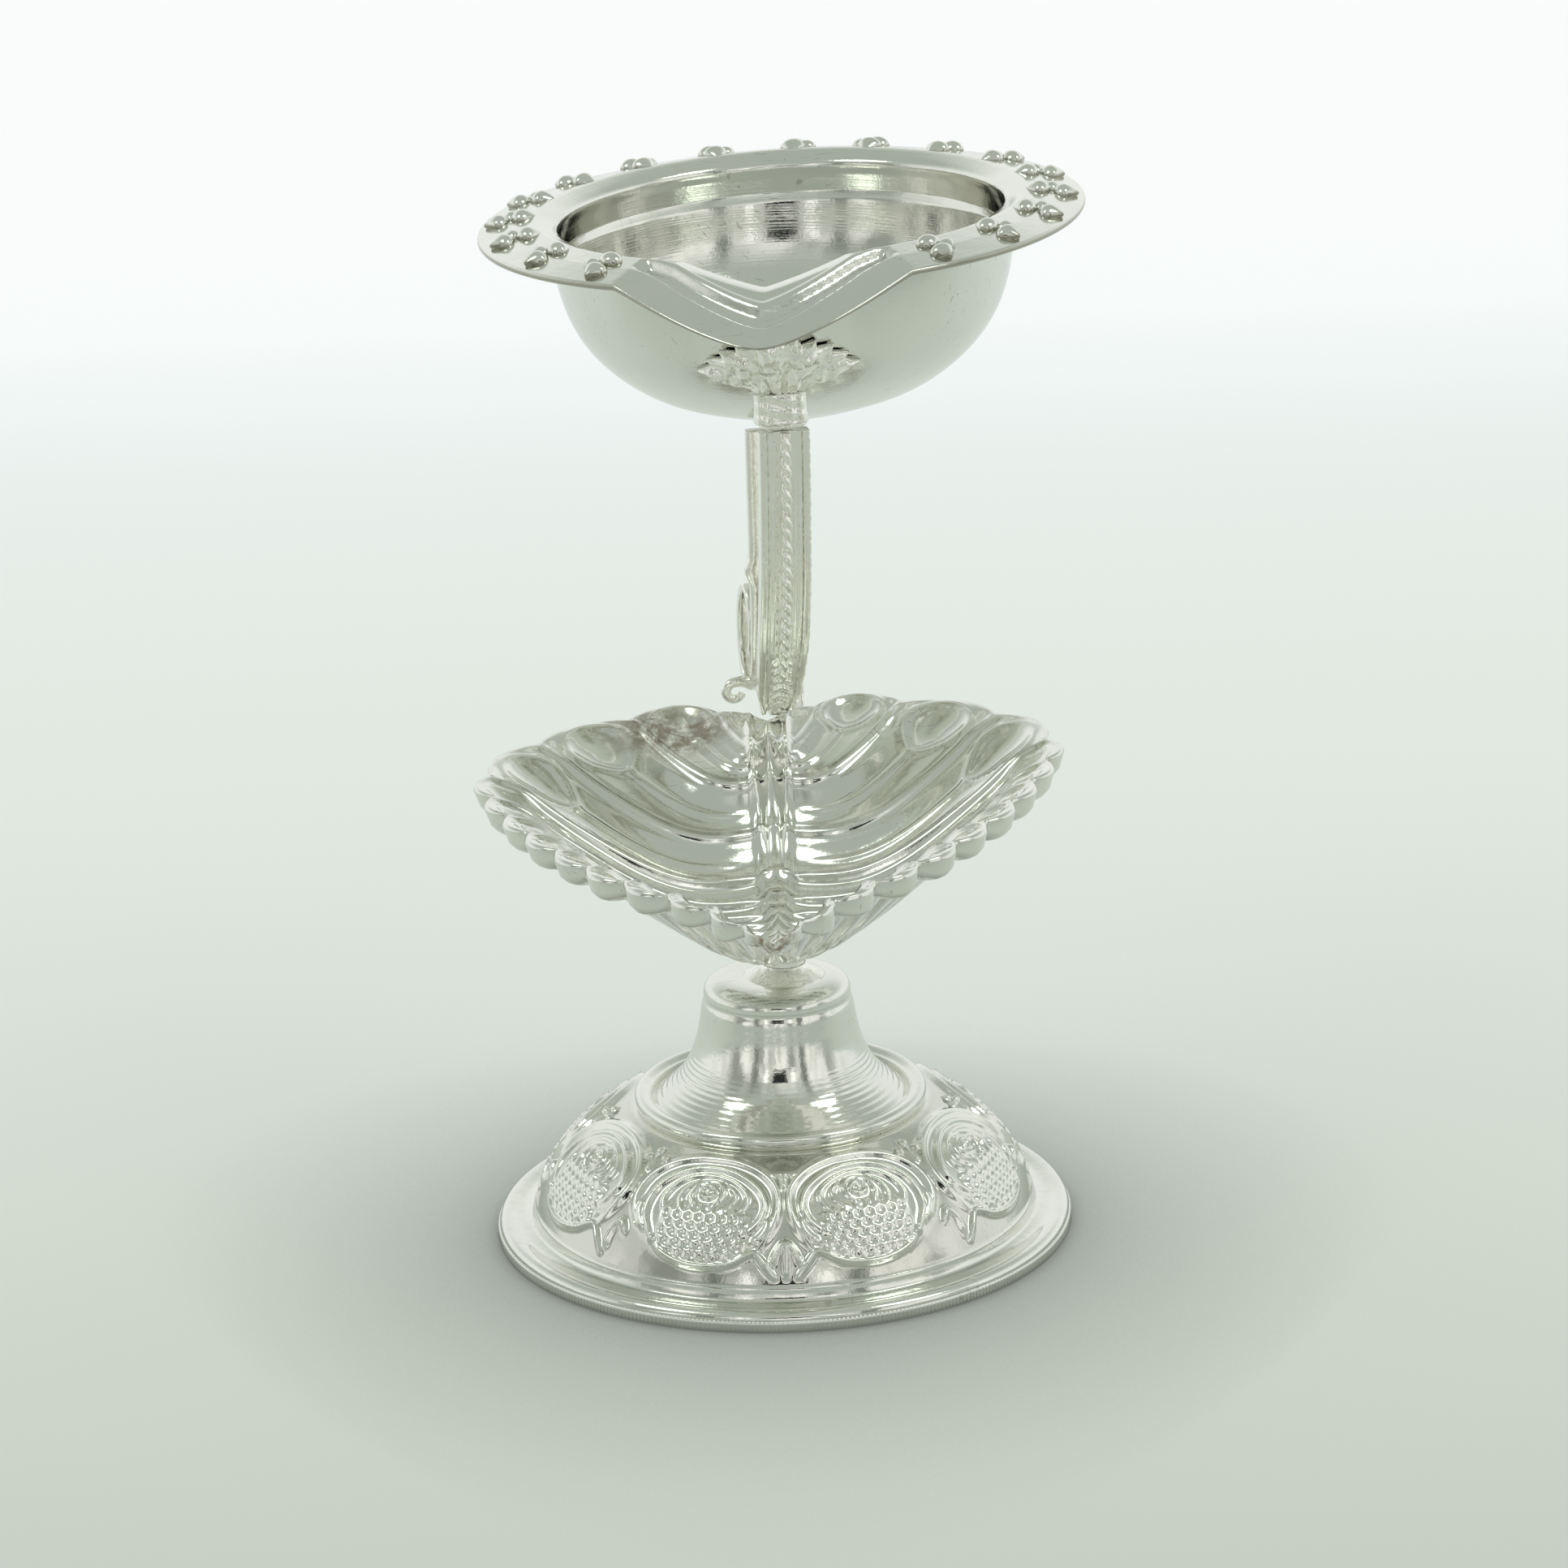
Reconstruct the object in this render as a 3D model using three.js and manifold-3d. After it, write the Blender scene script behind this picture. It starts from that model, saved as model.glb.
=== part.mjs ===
// A two-tier standing oil lamp in polished silver.
// A pressed foot carries a spun bell and a short neck. The neck holds a fluted leaf dish,
// and a scroll stem rises from the leaf's stalk to a round bowl with a pouring lip.
// Lengths are in millimetres and +Z is up. The lamp's front, with the leaf's tip and the
// bowl's lip, faces -Y. The foot's axis is the working axis of the lower pieces.

import * as THREE from 'three';
import { mergeVertices } from 'three/addons/utils/BufferGeometryUtils.js';
import Module from 'manifold-3d';

const wasm = await Module();
wasm.setup();

// Shared clearances
const seatGap = 0.3;
const foldLimit = 0.0001;

// Foot: a pressed disc with a rolled, milled edge and a domed skirt
const footRadius = 30;
const footEdgeHeight = 1.25;
const footEdgeWidth = 1.5;
const footSheet = 0.8;
const footRollRise = 0.8;
const footFlangeWidth = 3.4;
const footFlangeDish = 0.25;
const skirtStepRise = 1.4;
const skirtTopRadius = 15.8;
const skirtTopHeight = 13.6;
const skirtBulge = 1.5;
const footCollarRadius = 11.4;
const medallionCount = 8;
const medallionRise = 0.7;
const footSegments = 64;
const skirtRings = 7;
const skirtInnerRings = 3;

// Ring of round wire that trims the joint of bell and skirt
const ringWireRadius = 0.75;
const ringGap = 0.3;

// Bell: a spun socle with a flared mouth, a waist, a shoulder and a low dome
const bellMouthRadius = 13.5;
const bellShoulderRadius = 7.6;
const bellHeight = 13.6;
const bellSheet = 0.8;
const bellLipRise = 0.5;
const bellHoleRadius = 1.2;
const bellSegments = 40;

// Neck: a short post between the bell's dome and the leaf's keel, soldered at both ends
const neckRadius = 2.25;
const neckOffset = 0.8;
const neckFlare = 0.35;
const solderReach = 1.7;
const solderHeight = 1.1;
const neckSegments = 16;

// Leaf dish: pressed, fluted and scalloped, with its rim in one plane
const leafHalfWidth = 28.9;
const leafOffset = 0.4;
const leafTipReach = 51;
const leafBackReach = 23.3;
const leafNotchReach = 18;
const leafRimHeight = 49.3;
const leafKeelHeight = 34.6;
const leafSheet = 0.85;
const leafScallopDepth = 1.6;
const leafFluteDepth = 0.9;
const leafVeinDip = 5;
const leafRollDegrees = 2;
const leafAcross = 12;
const leafFrontScallops = 10;
const leafSamplesPerScallop = 4;
const leafRibHeight = 0.5;

// Stem: a cast scroll whose plane is turned a little about the upright
const stemTurnDegrees = 12;
const stemLeanDegrees = 0.4;
const stemStandX = 0.55;
const stemStandY = 19.4;
const stemRise = 34;
const stemBulge = 7;
const bandWidth = 5.3;
const bandFootShare = 0.85;
const bandThickness = 1.3;
const bandBeadWidth = 0.8;
const bandBeadHeight = 0.35;
const ropeRadius = 0.65;
const backStripWidth = 3.4;
const backStripThickness = 1.1;
const voluteRadius = 4.3;
const voluteHalfHeight = 6.6;
const stripTopGap = 0.8;
const legWidth = 2.2;
const legThickness = 1.2;
const legReachUnder = 4.6;
const legGap = 0.4;
const curlRadius = 1;
const curlWireRadius = 0.55;
const headSolderThickness = 0.6;
const stemSteps = 30;

// Bowl: spun, with a sloping beaded flange and a pressed lip at the front
const bowlRimRadius = 31.8;
const bowlMouthRadius = 25;
const bowlWallRadius = 24.1;
const bowlDepth = 21;
const bowlFlangeRise = 1.3;
const bowlSheet = 0.75;
const bowlStepDepth = 4.4;
const bowlStepWidth = 0.5;
const bowlRollDegrees = 2.1;
const bowlPitchDegrees = 1;
const lipReach = 5.6;
const lipDrop = 4.9;
const lipInnerReach = 2.5;
const lipInnerDrop = 2.1;
const lipHalfDegrees = 28.5;
const lipTurnDegrees = -4.3;
const lipGrooveDepth = 0.5;
const bowlSegments = 64;
const beadClusters = 17;
const beadFirstDegrees = 33;
const beadLastDegrees = 320;
const beadLength = 1.5;
const beadWidth = 1.0;
const beadHeight = 0.75;
const beadSides = 6;
const beadBands = 4;

// Spray: the cast leaf that grips the bowl under its lip
const sprayHalfWidth = 9;
const sprayHalfHeight = 3.3;
const sprayThickness = 1.3;
const sprayDropBelowRim = 10.4;
const sprayOffset = -1.3;
const socketWidth = 5.8;
const socketStandOff = 1.5;
const socketLength = 2.6;
const socketAside = -0.12;
const socketSetBack = -0.58;

const degrees = THREE.MathUtils.degToRad;

const silver = (name, colour, roughness) => new THREE.MeshStandardMaterial({
  name, color: colour, roughness, metalness: 1,
});

const materials = {
  pressed: silver('pressed_silver', 0xdfe2da, 0.18),
  spun: silver('spun_silver', 0xe6e9e3, 0.14),
  cast: silver('cast_silver', 0xd9dbd0, 0.3),
  solder: silver('solder', 0xcfd0c6, 0.38),
};

// Closed bodies

function cleanBody(geometry) {
  const bare = geometry.clone();
  for (const name of Object.keys(bare.attributes)) {
    if (name !== 'position') bare.deleteAttribute(name);
  }
  const merged = mergeVertices(bare, foldLimit);
  const position = merged.attributes.position;
  const [a, b, c] = [new THREE.Vector3(), new THREE.Vector3(), new THREE.Vector3()];
  const kept = [];
  let volume = 0;
  for (let i = 0; i < merged.index.count; i += 3) {
    const corners = [0, 1, 2].map((k) => merged.index.getX(i + k));
    if (new Set(corners).size < 3) continue;
    kept.push(corners);
    [a, b, c].forEach((corner, k) => corner.fromBufferAttribute(position, corners[k]));
    volume += a.dot(b.cross(c)) / 6;
  }
  merged.setIndex(kept.flatMap(([i, j, k]) => (volume < 0 ? [i, k, j] : [i, j, k])));
  return merged;
}

function turned(points, segments) {
  const outline = points.map(([radius, height]) => new THREE.Vector2(radius, height));
  return cleanBody(new THREE.LatheGeometry(outline, segments).rotateX(Math.PI / 2));
}

// A turned body whose points are then moved: place(profile index, step round) gives each one.
function shaped(profileCount, stepsRound, place) {
  const outline = Array.from({ length: profileCount }, (_, j) => (
    new THREE.Vector2(j === 0 || j === profileCount - 1 ? 0 : 1, j)));
  const geometry = new THREE.LatheGeometry(outline, stepsRound);
  const position = geometry.attributes.position;
  const target = new THREE.Vector3();
  for (let i = 0; i < position.count; i += 1) {
    const step = Math.floor(i / profileCount) % stepsRound;
    place(i % profileCount, step, target);
    position.setXYZ(i, target.x, target.y, target.z);
  }
  return cleanBody(geometry);
}

function strip(width, thickness, path, steps, bead = 0) {
  const half = width / 2;
  const section = new THREE.Shape();
  section.moveTo(-half, 0);
  section.lineTo(half, 0);
  section.lineTo(half, thickness + bead);
  if (bead > 0) {
    section.lineTo(half - bandBeadWidth, thickness + bead);
    section.lineTo(half - bandBeadWidth, thickness);
    section.lineTo(-half + bandBeadWidth, thickness);
    section.lineTo(-half + bandBeadWidth, thickness + bead);
  }
  section.lineTo(-half, thickness + bead);
  section.closePath();
  return cleanBody(new THREE.ExtrudeGeometry(section, { steps, extrudePath: path, bevelEnabled: false }));
}

function wire(radius, path, steps, sides) {
  const section = new THREE.Shape();
  section.absarc(0, 0, radius, 0, 2 * Math.PI, false);
  const extrude = { steps, extrudePath: path, bevelEnabled: false, curveSegments: sides / 2 };
  return cleanBody(new THREE.ExtrudeGeometry(section, extrude));
}

const uprightPath = (points) => new THREE.CatmullRomCurve3(
  points.map(([back, up]) => new THREE.Vector3(0, back, up)), false, 'centripetal');

function toManifold(geometry) {
  return new wasm.Manifold(new wasm.Mesh({
    numProp: 3,
    vertProperties: new Float32Array(geometry.attributes.position.array),
    triVerts: new Uint32Array(geometry.index.array),
  }));
}

function fromManifold(solid) {
  const mesh = solid.getMesh();
  const geometry = new THREE.BufferGeometry();
  geometry.setAttribute('position', new THREE.BufferAttribute(new Float32Array(mesh.vertProperties), 3));
  geometry.setIndex(new THREE.BufferAttribute(new Uint32Array(mesh.triVerts), 1));
  return geometry;
}

const ease = (from, to, value) => THREE.MathUtils.smoothstep(value, from, to);

// Foot

const flangeInnerRadius = footRadius - footEdgeWidth / 2 - footFlangeWidth;
const flangeHeight = footEdgeHeight + footRollRise;
const skirtFoot = new THREE.Vector2(flangeInnerRadius, flangeHeight + skirtStepRise);
const skirtTop = new THREE.Vector2(skirtTopRadius, skirtTopHeight);

function skirtPoint(share, inwards = 0) {
  const chord = new THREE.Vector2().subVectors(skirtTop, skirtFoot);
  const outwards = new THREE.Vector2(-chord.y, chord.x).normalize().negate();
  const bulge = 4 * skirtBulge * share * (1 - share) - inwards;
  return skirtFoot.clone().addScaledVector(chord, share).addScaledVector(outwards, bulge);
}

// The relief of one medallion, as a rise over the skirt, at an angle and a share of its slope.
function medallionRelief(angle, share) {
  const pitch = 2 * Math.PI / medallionCount;
  const across = 2 * Math.abs(((angle / pitch) % 1 + 1) % 1 - 0.5);
  const along = Math.abs(2 * share - 1);
  const out = Math.hypot(1.25 * across, 1.1 * along);
  return medallionRise * (1 - ease(0.75, 1.15, out));
}

function footGeometry() {
  const shares = (count) => Array.from({ length: count + 1 }, (_, i) => i / count);
  const innerRadius = footRadius - footEdgeWidth;
  const skirtOuter = shares(skirtRings).map((share) => skirtPoint(share));
  const skirtInner = shares(skirtInnerRings).map((share) => skirtPoint(1 - share, footSheet));
  const points = [
    [innerRadius, 0],
    [footRadius, 0],
    [footRadius, footEdgeHeight],
    [footRadius - footEdgeWidth / 3, flangeHeight - footRollRise / 4],
    [footRadius - footEdgeWidth, flangeHeight],
    [(innerRadius + flangeInnerRadius) / 2, flangeHeight - footFlangeDish],
    [flangeInnerRadius + footSheet / 2, flangeHeight],
    ...skirtOuter.map((point) => [point.x, point.y]),
    [footCollarRadius, skirtTopHeight],
    [footCollarRadius, skirtTopHeight - footSheet],
    ...skirtInner.map((point) => [point.x, point.y]),
    [flangeInnerRadius - footSheet / 4, flangeHeight - footSheet],
    [innerRadius, flangeHeight - footSheet],
  ];
  const outline = [...points, points[0]].map(([radius, height]) => new THREE.Vector2(radius, height));
  const geometry = new THREE.LatheGeometry(outline, footSegments);
  geometry.rotateX(Math.PI / 2);
  const firstSkirt = points.findIndex(([radius, height]) => (
    radius === skirtOuter[0].x && height === skirtOuter[0].y));
  const position = geometry.attributes.position;
  for (let i = 0; i < position.count; i += 1) {
    const ring = (i % outline.length) - firstSkirt;
    if (ring < 0 || ring > skirtRings) continue;
    const spot = new THREE.Vector3().fromBufferAttribute(position, i);
    const angle = Math.atan2(spot.x, -spot.y);
    const rise = medallionRelief(angle, ring / skirtRings);
    const chord = new THREE.Vector2().subVectors(skirtTop, skirtFoot).normalize();
    const radius = Math.hypot(spot.x, spot.y);
    const grow = 1 + (rise * chord.y) / radius;
    position.setXYZ(i, spot.x * grow, spot.y * grow, spot.z - rise * chord.x);
  }
  return cleanBody(geometry);
}

// Ring and bell

const ringRadius = bellMouthRadius + ringGap + ringWireRadius;
const ringHeight = skirtTopHeight + ringGap + ringWireRadius;
const bellFootHeight = skirtTopHeight + seatGap;
const bellTopHeight = bellFootHeight + bellHeight;

function ringGeometry() {
  const sides = 8;
  const points = Array.from({ length: sides + 1 }, (_, i) => {
    const angle = (i % sides) * 2 * Math.PI / sides;
    return [ringRadius + ringWireRadius * Math.cos(angle), ringHeight + ringWireRadius * Math.sin(angle)];
  });
  return turned(points, bellSegments);
}

// The bell's side from mouth to shoulder: [share of the height, share from shoulder out to mouth].
const bellFlareShares = [
  [0.125, 0.72], [0.243, 0.45], [0.37, 0.28], [0.5, 0.17], [0.735, 0.06], [0.849, 0],
];
const bellInnerShares = [[0.2, 0.54], [0.37, 0.28], [0.5, 0.17], [0.78, 0.04]];
// The rounded dome over the shoulder: [share of the height, share of the shoulder's radius].
const bellDomeShares = [[0.91, 1], [0.956, 0.96], [0.985, 0.87], [1, 0.7]];

function bellSide(shares, inwards) {
  const spread = bellMouthRadius - bellShoulderRadius;
  return shares.map(([up, out]) => [
    bellShoulderRadius + spread * out - inwards, bellFootHeight + bellHeight * up]);
}

function bellGeometry() {
  const dome = bellDomeShares.map(([up, out]) => [
    bellShoulderRadius * out, bellFootHeight + bellHeight * up]);
  const points = [
    [bellMouthRadius - bellSheet, bellFootHeight],
    [bellMouthRadius, bellFootHeight],
    [bellMouthRadius, bellFootHeight + bellLipRise],
    ...bellSide(bellFlareShares, 0),
    ...dome,
    [bellHoleRadius, bellTopHeight],
    [bellHoleRadius, bellTopHeight - bellSheet],
    [0.65 * bellShoulderRadius, bellTopHeight - bellSheet],
    [bellShoulderRadius - bellSheet, bellTopHeight - 2 * bellSheet],
    ...bellSide(bellInnerShares, bellSheet).reverse(),
  ];
  return turned([...points, points[0]], bellSegments);
}

// Leaf dish

// Half of the leaf's margin, from tip to notch: [share of the length, share of the half width].
const leafMarginShares = [
  [0, 0], [0.07, 0.085], [0.145, 0.185], [0.22, 0.34], [0.275, 0.467], [0.345, 0.6], [0.425, 0.717],
  [0.503, 0.82], [0.58, 0.897], [0.656, 0.96], [0.747, 1], [0.852, 0.927], [0.921, 0.78],
  [0.965, 0.6], [1, 0.37], [0.99, 0.2], [0.96, 0.08], [0.92, 0],
];
// Where the scallops end along that margin: even ones on the front, wider ones on the lobe.
const leafFrontShare = 0.632;
const leafLobeShares = [0.731, 0.84, 0.934];
const leafTaperShare = 0.083;

const leafLength = leafTipReach + leafBackReach;
const leafMargin = new THREE.CatmullRomCurve3(leafMarginShares.map(([along, out], i) => {
  const last = i === leafMarginShares.length - 1;
  const back = last ? leafNotchReach : -leafTipReach + leafLength * along;
  return new THREE.Vector3(leafHalfWidth * out, back, 0);
}), false, 'centripetal');

const scallopEnds = [
  ...Array.from({ length: leafFrontScallops + 1 }, (_, i) => leafFrontShare * i / leafFrontScallops),
  ...leafLobeShares, 1,
];

// How far through its scallop a place on the margin lies, and how deep that scallop is cut.
function scallopAt(along) {
  let index = scallopEnds.findIndex((end) => end > along) - 1;
  if (index < 0) index = scallopEnds.length - 2;
  const [from, to] = [scallopEnds[index], scallopEnds[index + 1]];
  const plain = index === scallopEnds.length - 2;
  return { phase: (along - from) / (to - from), strength: plain ? 0.25 : 1 };
}

// The keel rises evenly to the tip and more and more steeply to the notch.
function keelHeight(back) {
  const rise = back < 0 ? (-back / leafTipReach) ** 1.45 : (back / leafNotchReach) ** 2;
  return leafKeelHeight + (leafRimHeight - leafKeelHeight) * rise;
}

// A point of the dish: along runs from tip to notch, across from the midrib out to the margin.
function leafPoint(along, across, under, target) {
  const margin = leafMargin.getPointAt(along);
  const tangent = leafMargin.getTangentAt(along);
  const { phase, strength } = scallopAt(along);
  const swell = strength * Math.sin(Math.PI * phase) ** 0.8;
  const ends = Math.min(1, along / leafTaperShare, (1 - along) / leafTaperShare);
  const veinShare = 1 - (1 - along) ** 2.1;
  const start = -leafTipReach + (leafTipReach + leafNotchReach) * veinShare;
  const side = Math.abs(across);
  const push = leafScallopDepth * swell * ends * ease(0.75, 1, side);
  const x = margin.x * side + tangent.y * push;
  const dip = leafVeinDip * ease(0.3, 0.75, along) * ends * Math.sin(Math.PI * side);
  const y = start + (margin.y - start) * side - dip - tangent.x * push;
  const fullness = 2 + 0.6 * ease(0.3, 0.75, along);
  const keel = keelHeight(start);
  let z = keel + (leafRimHeight - keel) * side ** fullness;
  z -= leafFluteDepth * swell * ends * Math.sin(Math.PI * Math.min(1, 0.15 + 0.85 * side)) ** 0.7;
  if (under) z -= leafSheet * (0.4 + 0.6 * ends);
  else z += leafRibHeight * ends * (side < 0.02 ? 1 : 0);
  target.set(Math.sign(across) * x, y, z);
}

function leafStations() {
  const stations = [];
  for (let i = 0; i < scallopEnds.length - 1; i += 1) {
    for (let k = 0; k < leafSamplesPerScallop; k += 1) {
      const share = k / leafSamplesPerScallop;
      stations.push(scallopEnds[i] + (scallopEnds[i + 1] - scallopEnds[i]) * share);
    }
  }
  return [...stations, 1];
}

function leafGeometry() {
  const stations = leafStations();
  const loop = 2 * (leafAcross + 1);
  return shaped(stations.length, loop, (station, step, target) => {
    const under = step > leafAcross;
    const column = under ? loop - 1 - step : step;
    leafPoint(stations[station], 2 * column / leafAcross - 1, under, target);
  });
}

// Neck and its solder

const neckFoot = bellTopHeight + seatGap;
const neckTop = leafKeelHeight - leafSheet - 0.75 * leafFluteDepth - seatGap;

function neckGeometry() {
  const height = neckTop - neckFoot;
  return turned([
    [0, neckFoot],
    [neckRadius + neckFlare, neckFoot],
    [neckRadius, neckFoot + 0.2 * height],
    [neckRadius, neckFoot + 0.6 * height],
    [neckRadius + neckFlare, neckTop],
    [0, neckTop],
  ], neckSegments);
}

function solderGeometry(height, direction) {
  const inner = neckRadius + neckFlare + seatGap;
  return turned([
    [inner, height],
    [inner + solderReach, height],
    [inner + 0.45 * solderReach, height + direction * 0.4 * solderHeight],
    [inner, height + direction * solderHeight],
    [inner, height],
  ], neckSegments);
}

// Stem: paths run in its own upright plane, as [back, up] from where it stands on the leaf

const stemPoint = (backShare, upShare) => [stemBulge * backShare, stemRise * upShare];

const [headBack, headUp] = stemPoint(-1.11, 0.976);

const bandPath = uprightPath([
  stemPoint(0.08, 0.078), stemPoint(-0.08, 0.053), stemPoint(-0.26, 0.09), stemPoint(-0.66, 0.25),
  stemPoint(-0.95, 0.48), stemPoint(-1.04, 0.66), stemPoint(-1.1, 0.83), [headBack, headUp],
]);

function offsetPath(path, distance, from, to, count) {
  const points = Array.from({ length: count + 1 }, (_, i) => {
    const share = from + (to - from) * i / count;
    const point = path.getPointAt(share);
    const tangent = path.getTangentAt(share);
    return [point.y - tangent.z * distance, point.z + tangent.y * distance];
  });
  return uprightPath(points);
}

const ropePath = offsetPath(bandPath, bandThickness + seatGap + ropeRadius, 0.2, 1, 14);

// The front band narrows towards the leaf's notch.
function bandGeometry() {
  const geometry = strip(bandWidth, bandThickness, bandPath, stemSteps, bandBeadHeight);
  const position = geometry.attributes.position;
  for (let i = 0; i < position.count; i += 1) {
    const widening = ease(0.05 * stemRise, 0.4 * stemRise, position.getZ(i));
    position.setX(i, position.getX(i) * (bandFootShare + (1 - bandFootShare) * widening));
  }
  return geometry;
}

const stripBack = 0.22 * stemBulge;
const voluteUp = seatGap + voluteHalfHeight + 0.015 * stemRise;

// How high in the stem's plane the back strip reaches, a little under the bowl's underside.
function stripTopUp(back) {
  const place = bowlPlace();
  const over = new THREE.Vector3(0, back, headUp).applyEuler(stemTilt).add(stemStand).sub(place);
  return place.z + underHeightAt(Math.hypot(over.x, over.y)) - stripTopGap - stemStand.z;
}

// The back strip stands under the bowl and ends below in a tall volute that winds up behind it.
function backScrollPath() {
  const topBack = stripBack + seatGap;
  const points = [[topBack, stripTopUp(topBack)], stemPoint(0.24, 0.7), [stripBack, 0.5 * stemRise]];
  const turns = 1.12;
  const steps = 14;
  for (let i = 0; i <= steps; i += 1) {
    const share = i / steps;
    const angle = Math.PI + 2 * Math.PI * turns * share;
    const size = 1 - 0.45 * share ** 2;
    const back = stripBack + voluteRadius * (1 + size * Math.cos(angle));
    points.push([back, voluteUp + voluteHalfHeight * size * Math.sin(angle)]);
  }
  return uprightPath(points);
}

// The leg grips the leaf's back wall from under the notch and rises beside the volute.
const legOffset = (backStripWidth + legWidth) / 2 + legGap;
const legPath = uprightPath([
  [0.16 * stemBulge, -legReachUnder], [0.5 * stemBulge, -0.26 * legReachUnder],
  stemPoint(0.62, 0.03), stemPoint(0.56, 0.085),
]);

// A small scroll end on the other side: its arm leaves the volute and winds down into a ring.
function curlGeometry() {
  const turn = [[1.6, 0.8], [0.9, 1]].map(([across, up]) => (
    new THREE.Vector3(curlRadius * across, 0, curlRadius * up)));
  const steps = 10;
  for (let i = 1; i <= steps; i += 1) {
    const angle = Math.PI * (0.4 + 1.5 * i / steps);
    const radius = curlRadius * (1 - 0.2 * i / steps);
    turn.push(new THREE.Vector3(radius * Math.cos(angle), 0, radius * Math.sin(angle)));
  }
  return wire(curlWireRadius, new THREE.CatmullRomCurve3(turn, false, 'centripetal'), 20, 6);
}

// Bowl

function bowlProfile() {
  const under = [
    [0, -bowlDepth],
    [0.24 * bowlWallRadius, -0.985 * bowlDepth],
    [0.44 * bowlWallRadius, -0.925 * bowlDepth],
    [0.62 * bowlWallRadius, -0.845 * bowlDepth],
    [0.78 * bowlWallRadius, -0.715 * bowlDepth],
    [0.89 * bowlWallRadius, -0.57 * bowlDepth],
    [0.955 * bowlWallRadius, -0.42 * bowlDepth],
    [bowlWallRadius, -0.2 * bowlDepth],
    [bowlWallRadius, bowlFlangeRise - 1.6 * bowlSheet],
  ];
  const flange = [
    [bowlRimRadius - bowlSheet / 2, -bowlSheet],
    [bowlRimRadius, -bowlSheet / 3],
    [bowlRimRadius - bowlSheet / 3, 0],
    [(bowlRimRadius + bowlMouthRadius) / 2 + bowlSheet, 0.45 * bowlFlangeRise],
    [(bowlRimRadius + bowlMouthRadius) / 2 - bowlSheet, 0.7 * bowlFlangeRise],
    [bowlMouthRadius + bowlSheet, 0.97 * bowlFlangeRise],
    [bowlMouthRadius, bowlFlangeRise - bowlSheet / 4],
    [bowlWallRadius - bowlSheet, bowlFlangeRise - 1.5 * bowlSheet],
  ];
  const stepRadius = bowlWallRadius - bowlSheet - bowlStepWidth;
  const inside = [
    [bowlWallRadius - bowlSheet, bowlFlangeRise - bowlStepDepth],
    [stepRadius, bowlFlangeRise - bowlStepDepth - bowlStepWidth],
    [0.955 * stepRadius, -0.4 * bowlDepth],
    [0.89 * stepRadius, -0.54 * bowlDepth],
    [0.77 * stepRadius, -0.68 * bowlDepth],
    [0.6 * stepRadius, -0.8 * bowlDepth],
    [0.4 * stepRadius, -0.885 * bowlDepth],
    [0, bowlSheet - bowlDepth],
  ];
  return [...under, ...flange, ...inside];
}

// How rounded the lip's point is, and how much of its width the inner edge takes.
const lipRoundShare = 0.15;
const lipInnerShare = 0.7;

// How far from the lip's middle an angle round the bowl lies, up to 1 at the lip's end.
const lipShare = (angle) => (
  Math.min(1, Math.abs(angle - degrees(lipTurnDegrees)) / degrees(lipHalfDegrees)));

// The pressed lip pulls the flange and the upper wall forwards and down near the front.
function lipShift(radius, height, angle) {
  const share = lipShare(angle);
  const fall = (part) => Math.hypot(part, lipRoundShare) - lipRoundShare;
  const outer = 1 - fall(share) / fall(1);
  const pointed = outer ** 1.3;
  const straight = Math.max(0, 1 - share / lipInnerShare);
  const across = THREE.MathUtils.clamp((radius - bowlWallRadius) / (bowlRimRadius - bowlWallRadius), 0, 1);
  const upper = ease(-0.75 * bowlDepth, 0, height);
  const reach = THREE.MathUtils.lerp(lipInnerReach * straight, lipReach * pointed, across);
  const drop = THREE.MathUtils.lerp(lipInnerDrop * straight, lipDrop * outer, across);
  const onFlange = ease(-bowlStepDepth, 0, height);
  return { reach: reach * upper, drop: drop * onFlange };
}

function bowlPoint(radius, height, angle, target) {
  const { reach, drop } = lipShift(radius, height, angle);
  const out = radius + reach;
  target.set(out * Math.sin(angle), -out * Math.cos(angle), height - drop);
}

// The groove across the lip runs along the two rings in the middle of the flange.
function bowlBody() {
  const profile = bowlProfile();
  const grooveRings = [12, 13];
  return shaped(profile.length, bowlSegments, (ring, step, target) => {
    const angle = Math.PI - 2 * Math.PI * step / bowlSegments;
    bowlPoint(profile[ring][0], profile[ring][1], angle, target);
    const onGroove = grooveRings.includes(ring);
    if (onGroove && lipShare(angle) < 0.7) target.z -= lipGrooveDepth;
  });
}

// Beads stand on the flange in threes: two side by side across it and a smaller one behind.
const beadTrefoilShares = [[0.3, 0, 1], [0.68, 0, 1], [0.5, 0.4, 0.8]];

function beadGeometries() {
  const pitch = (beadLastDegrees - beadFirstDegrees) / (beadClusters - 1);
  const rear = (beadFirstDegrees + beadLastDegrees) / 2;
  const flangeWidth = bowlRimRadius - bowlMouthRadius;
  const beads = [];
  for (let i = 0; i < beadClusters; i += 1) {
    for (const [across, along, size] of beadTrefoilShares) {
      const middle = beadFirstDegrees + pitch * i;
      const away = middle > rear ? -1 : 1;
      const angle = degrees(middle + away * 0.38 * pitch * along);
      const radius = bowlMouthRadius + flangeWidth * across;
      const bead = new THREE.SphereGeometry(1, beadSides, beadBands);
      bead.rotateX(Math.PI / 2);
      bead.scale(beadWidth * size, beadLength * size, beadHeight * size);
      bead.rotateZ(angle);
      const height = bowlFlangeRise * (1 - across);
      bead.translate(radius * Math.sin(angle), -radius * Math.cos(angle), height);
      beads.push(cleanBody(bead));
    }
  }
  return beads;
}

function bowlGeometry() {
  let solid = toManifold(bowlBody());
  for (const bead of beadGeometries()) solid = solid.add(toManifold(bead));
  return fromManifold(solid);
}

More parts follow.
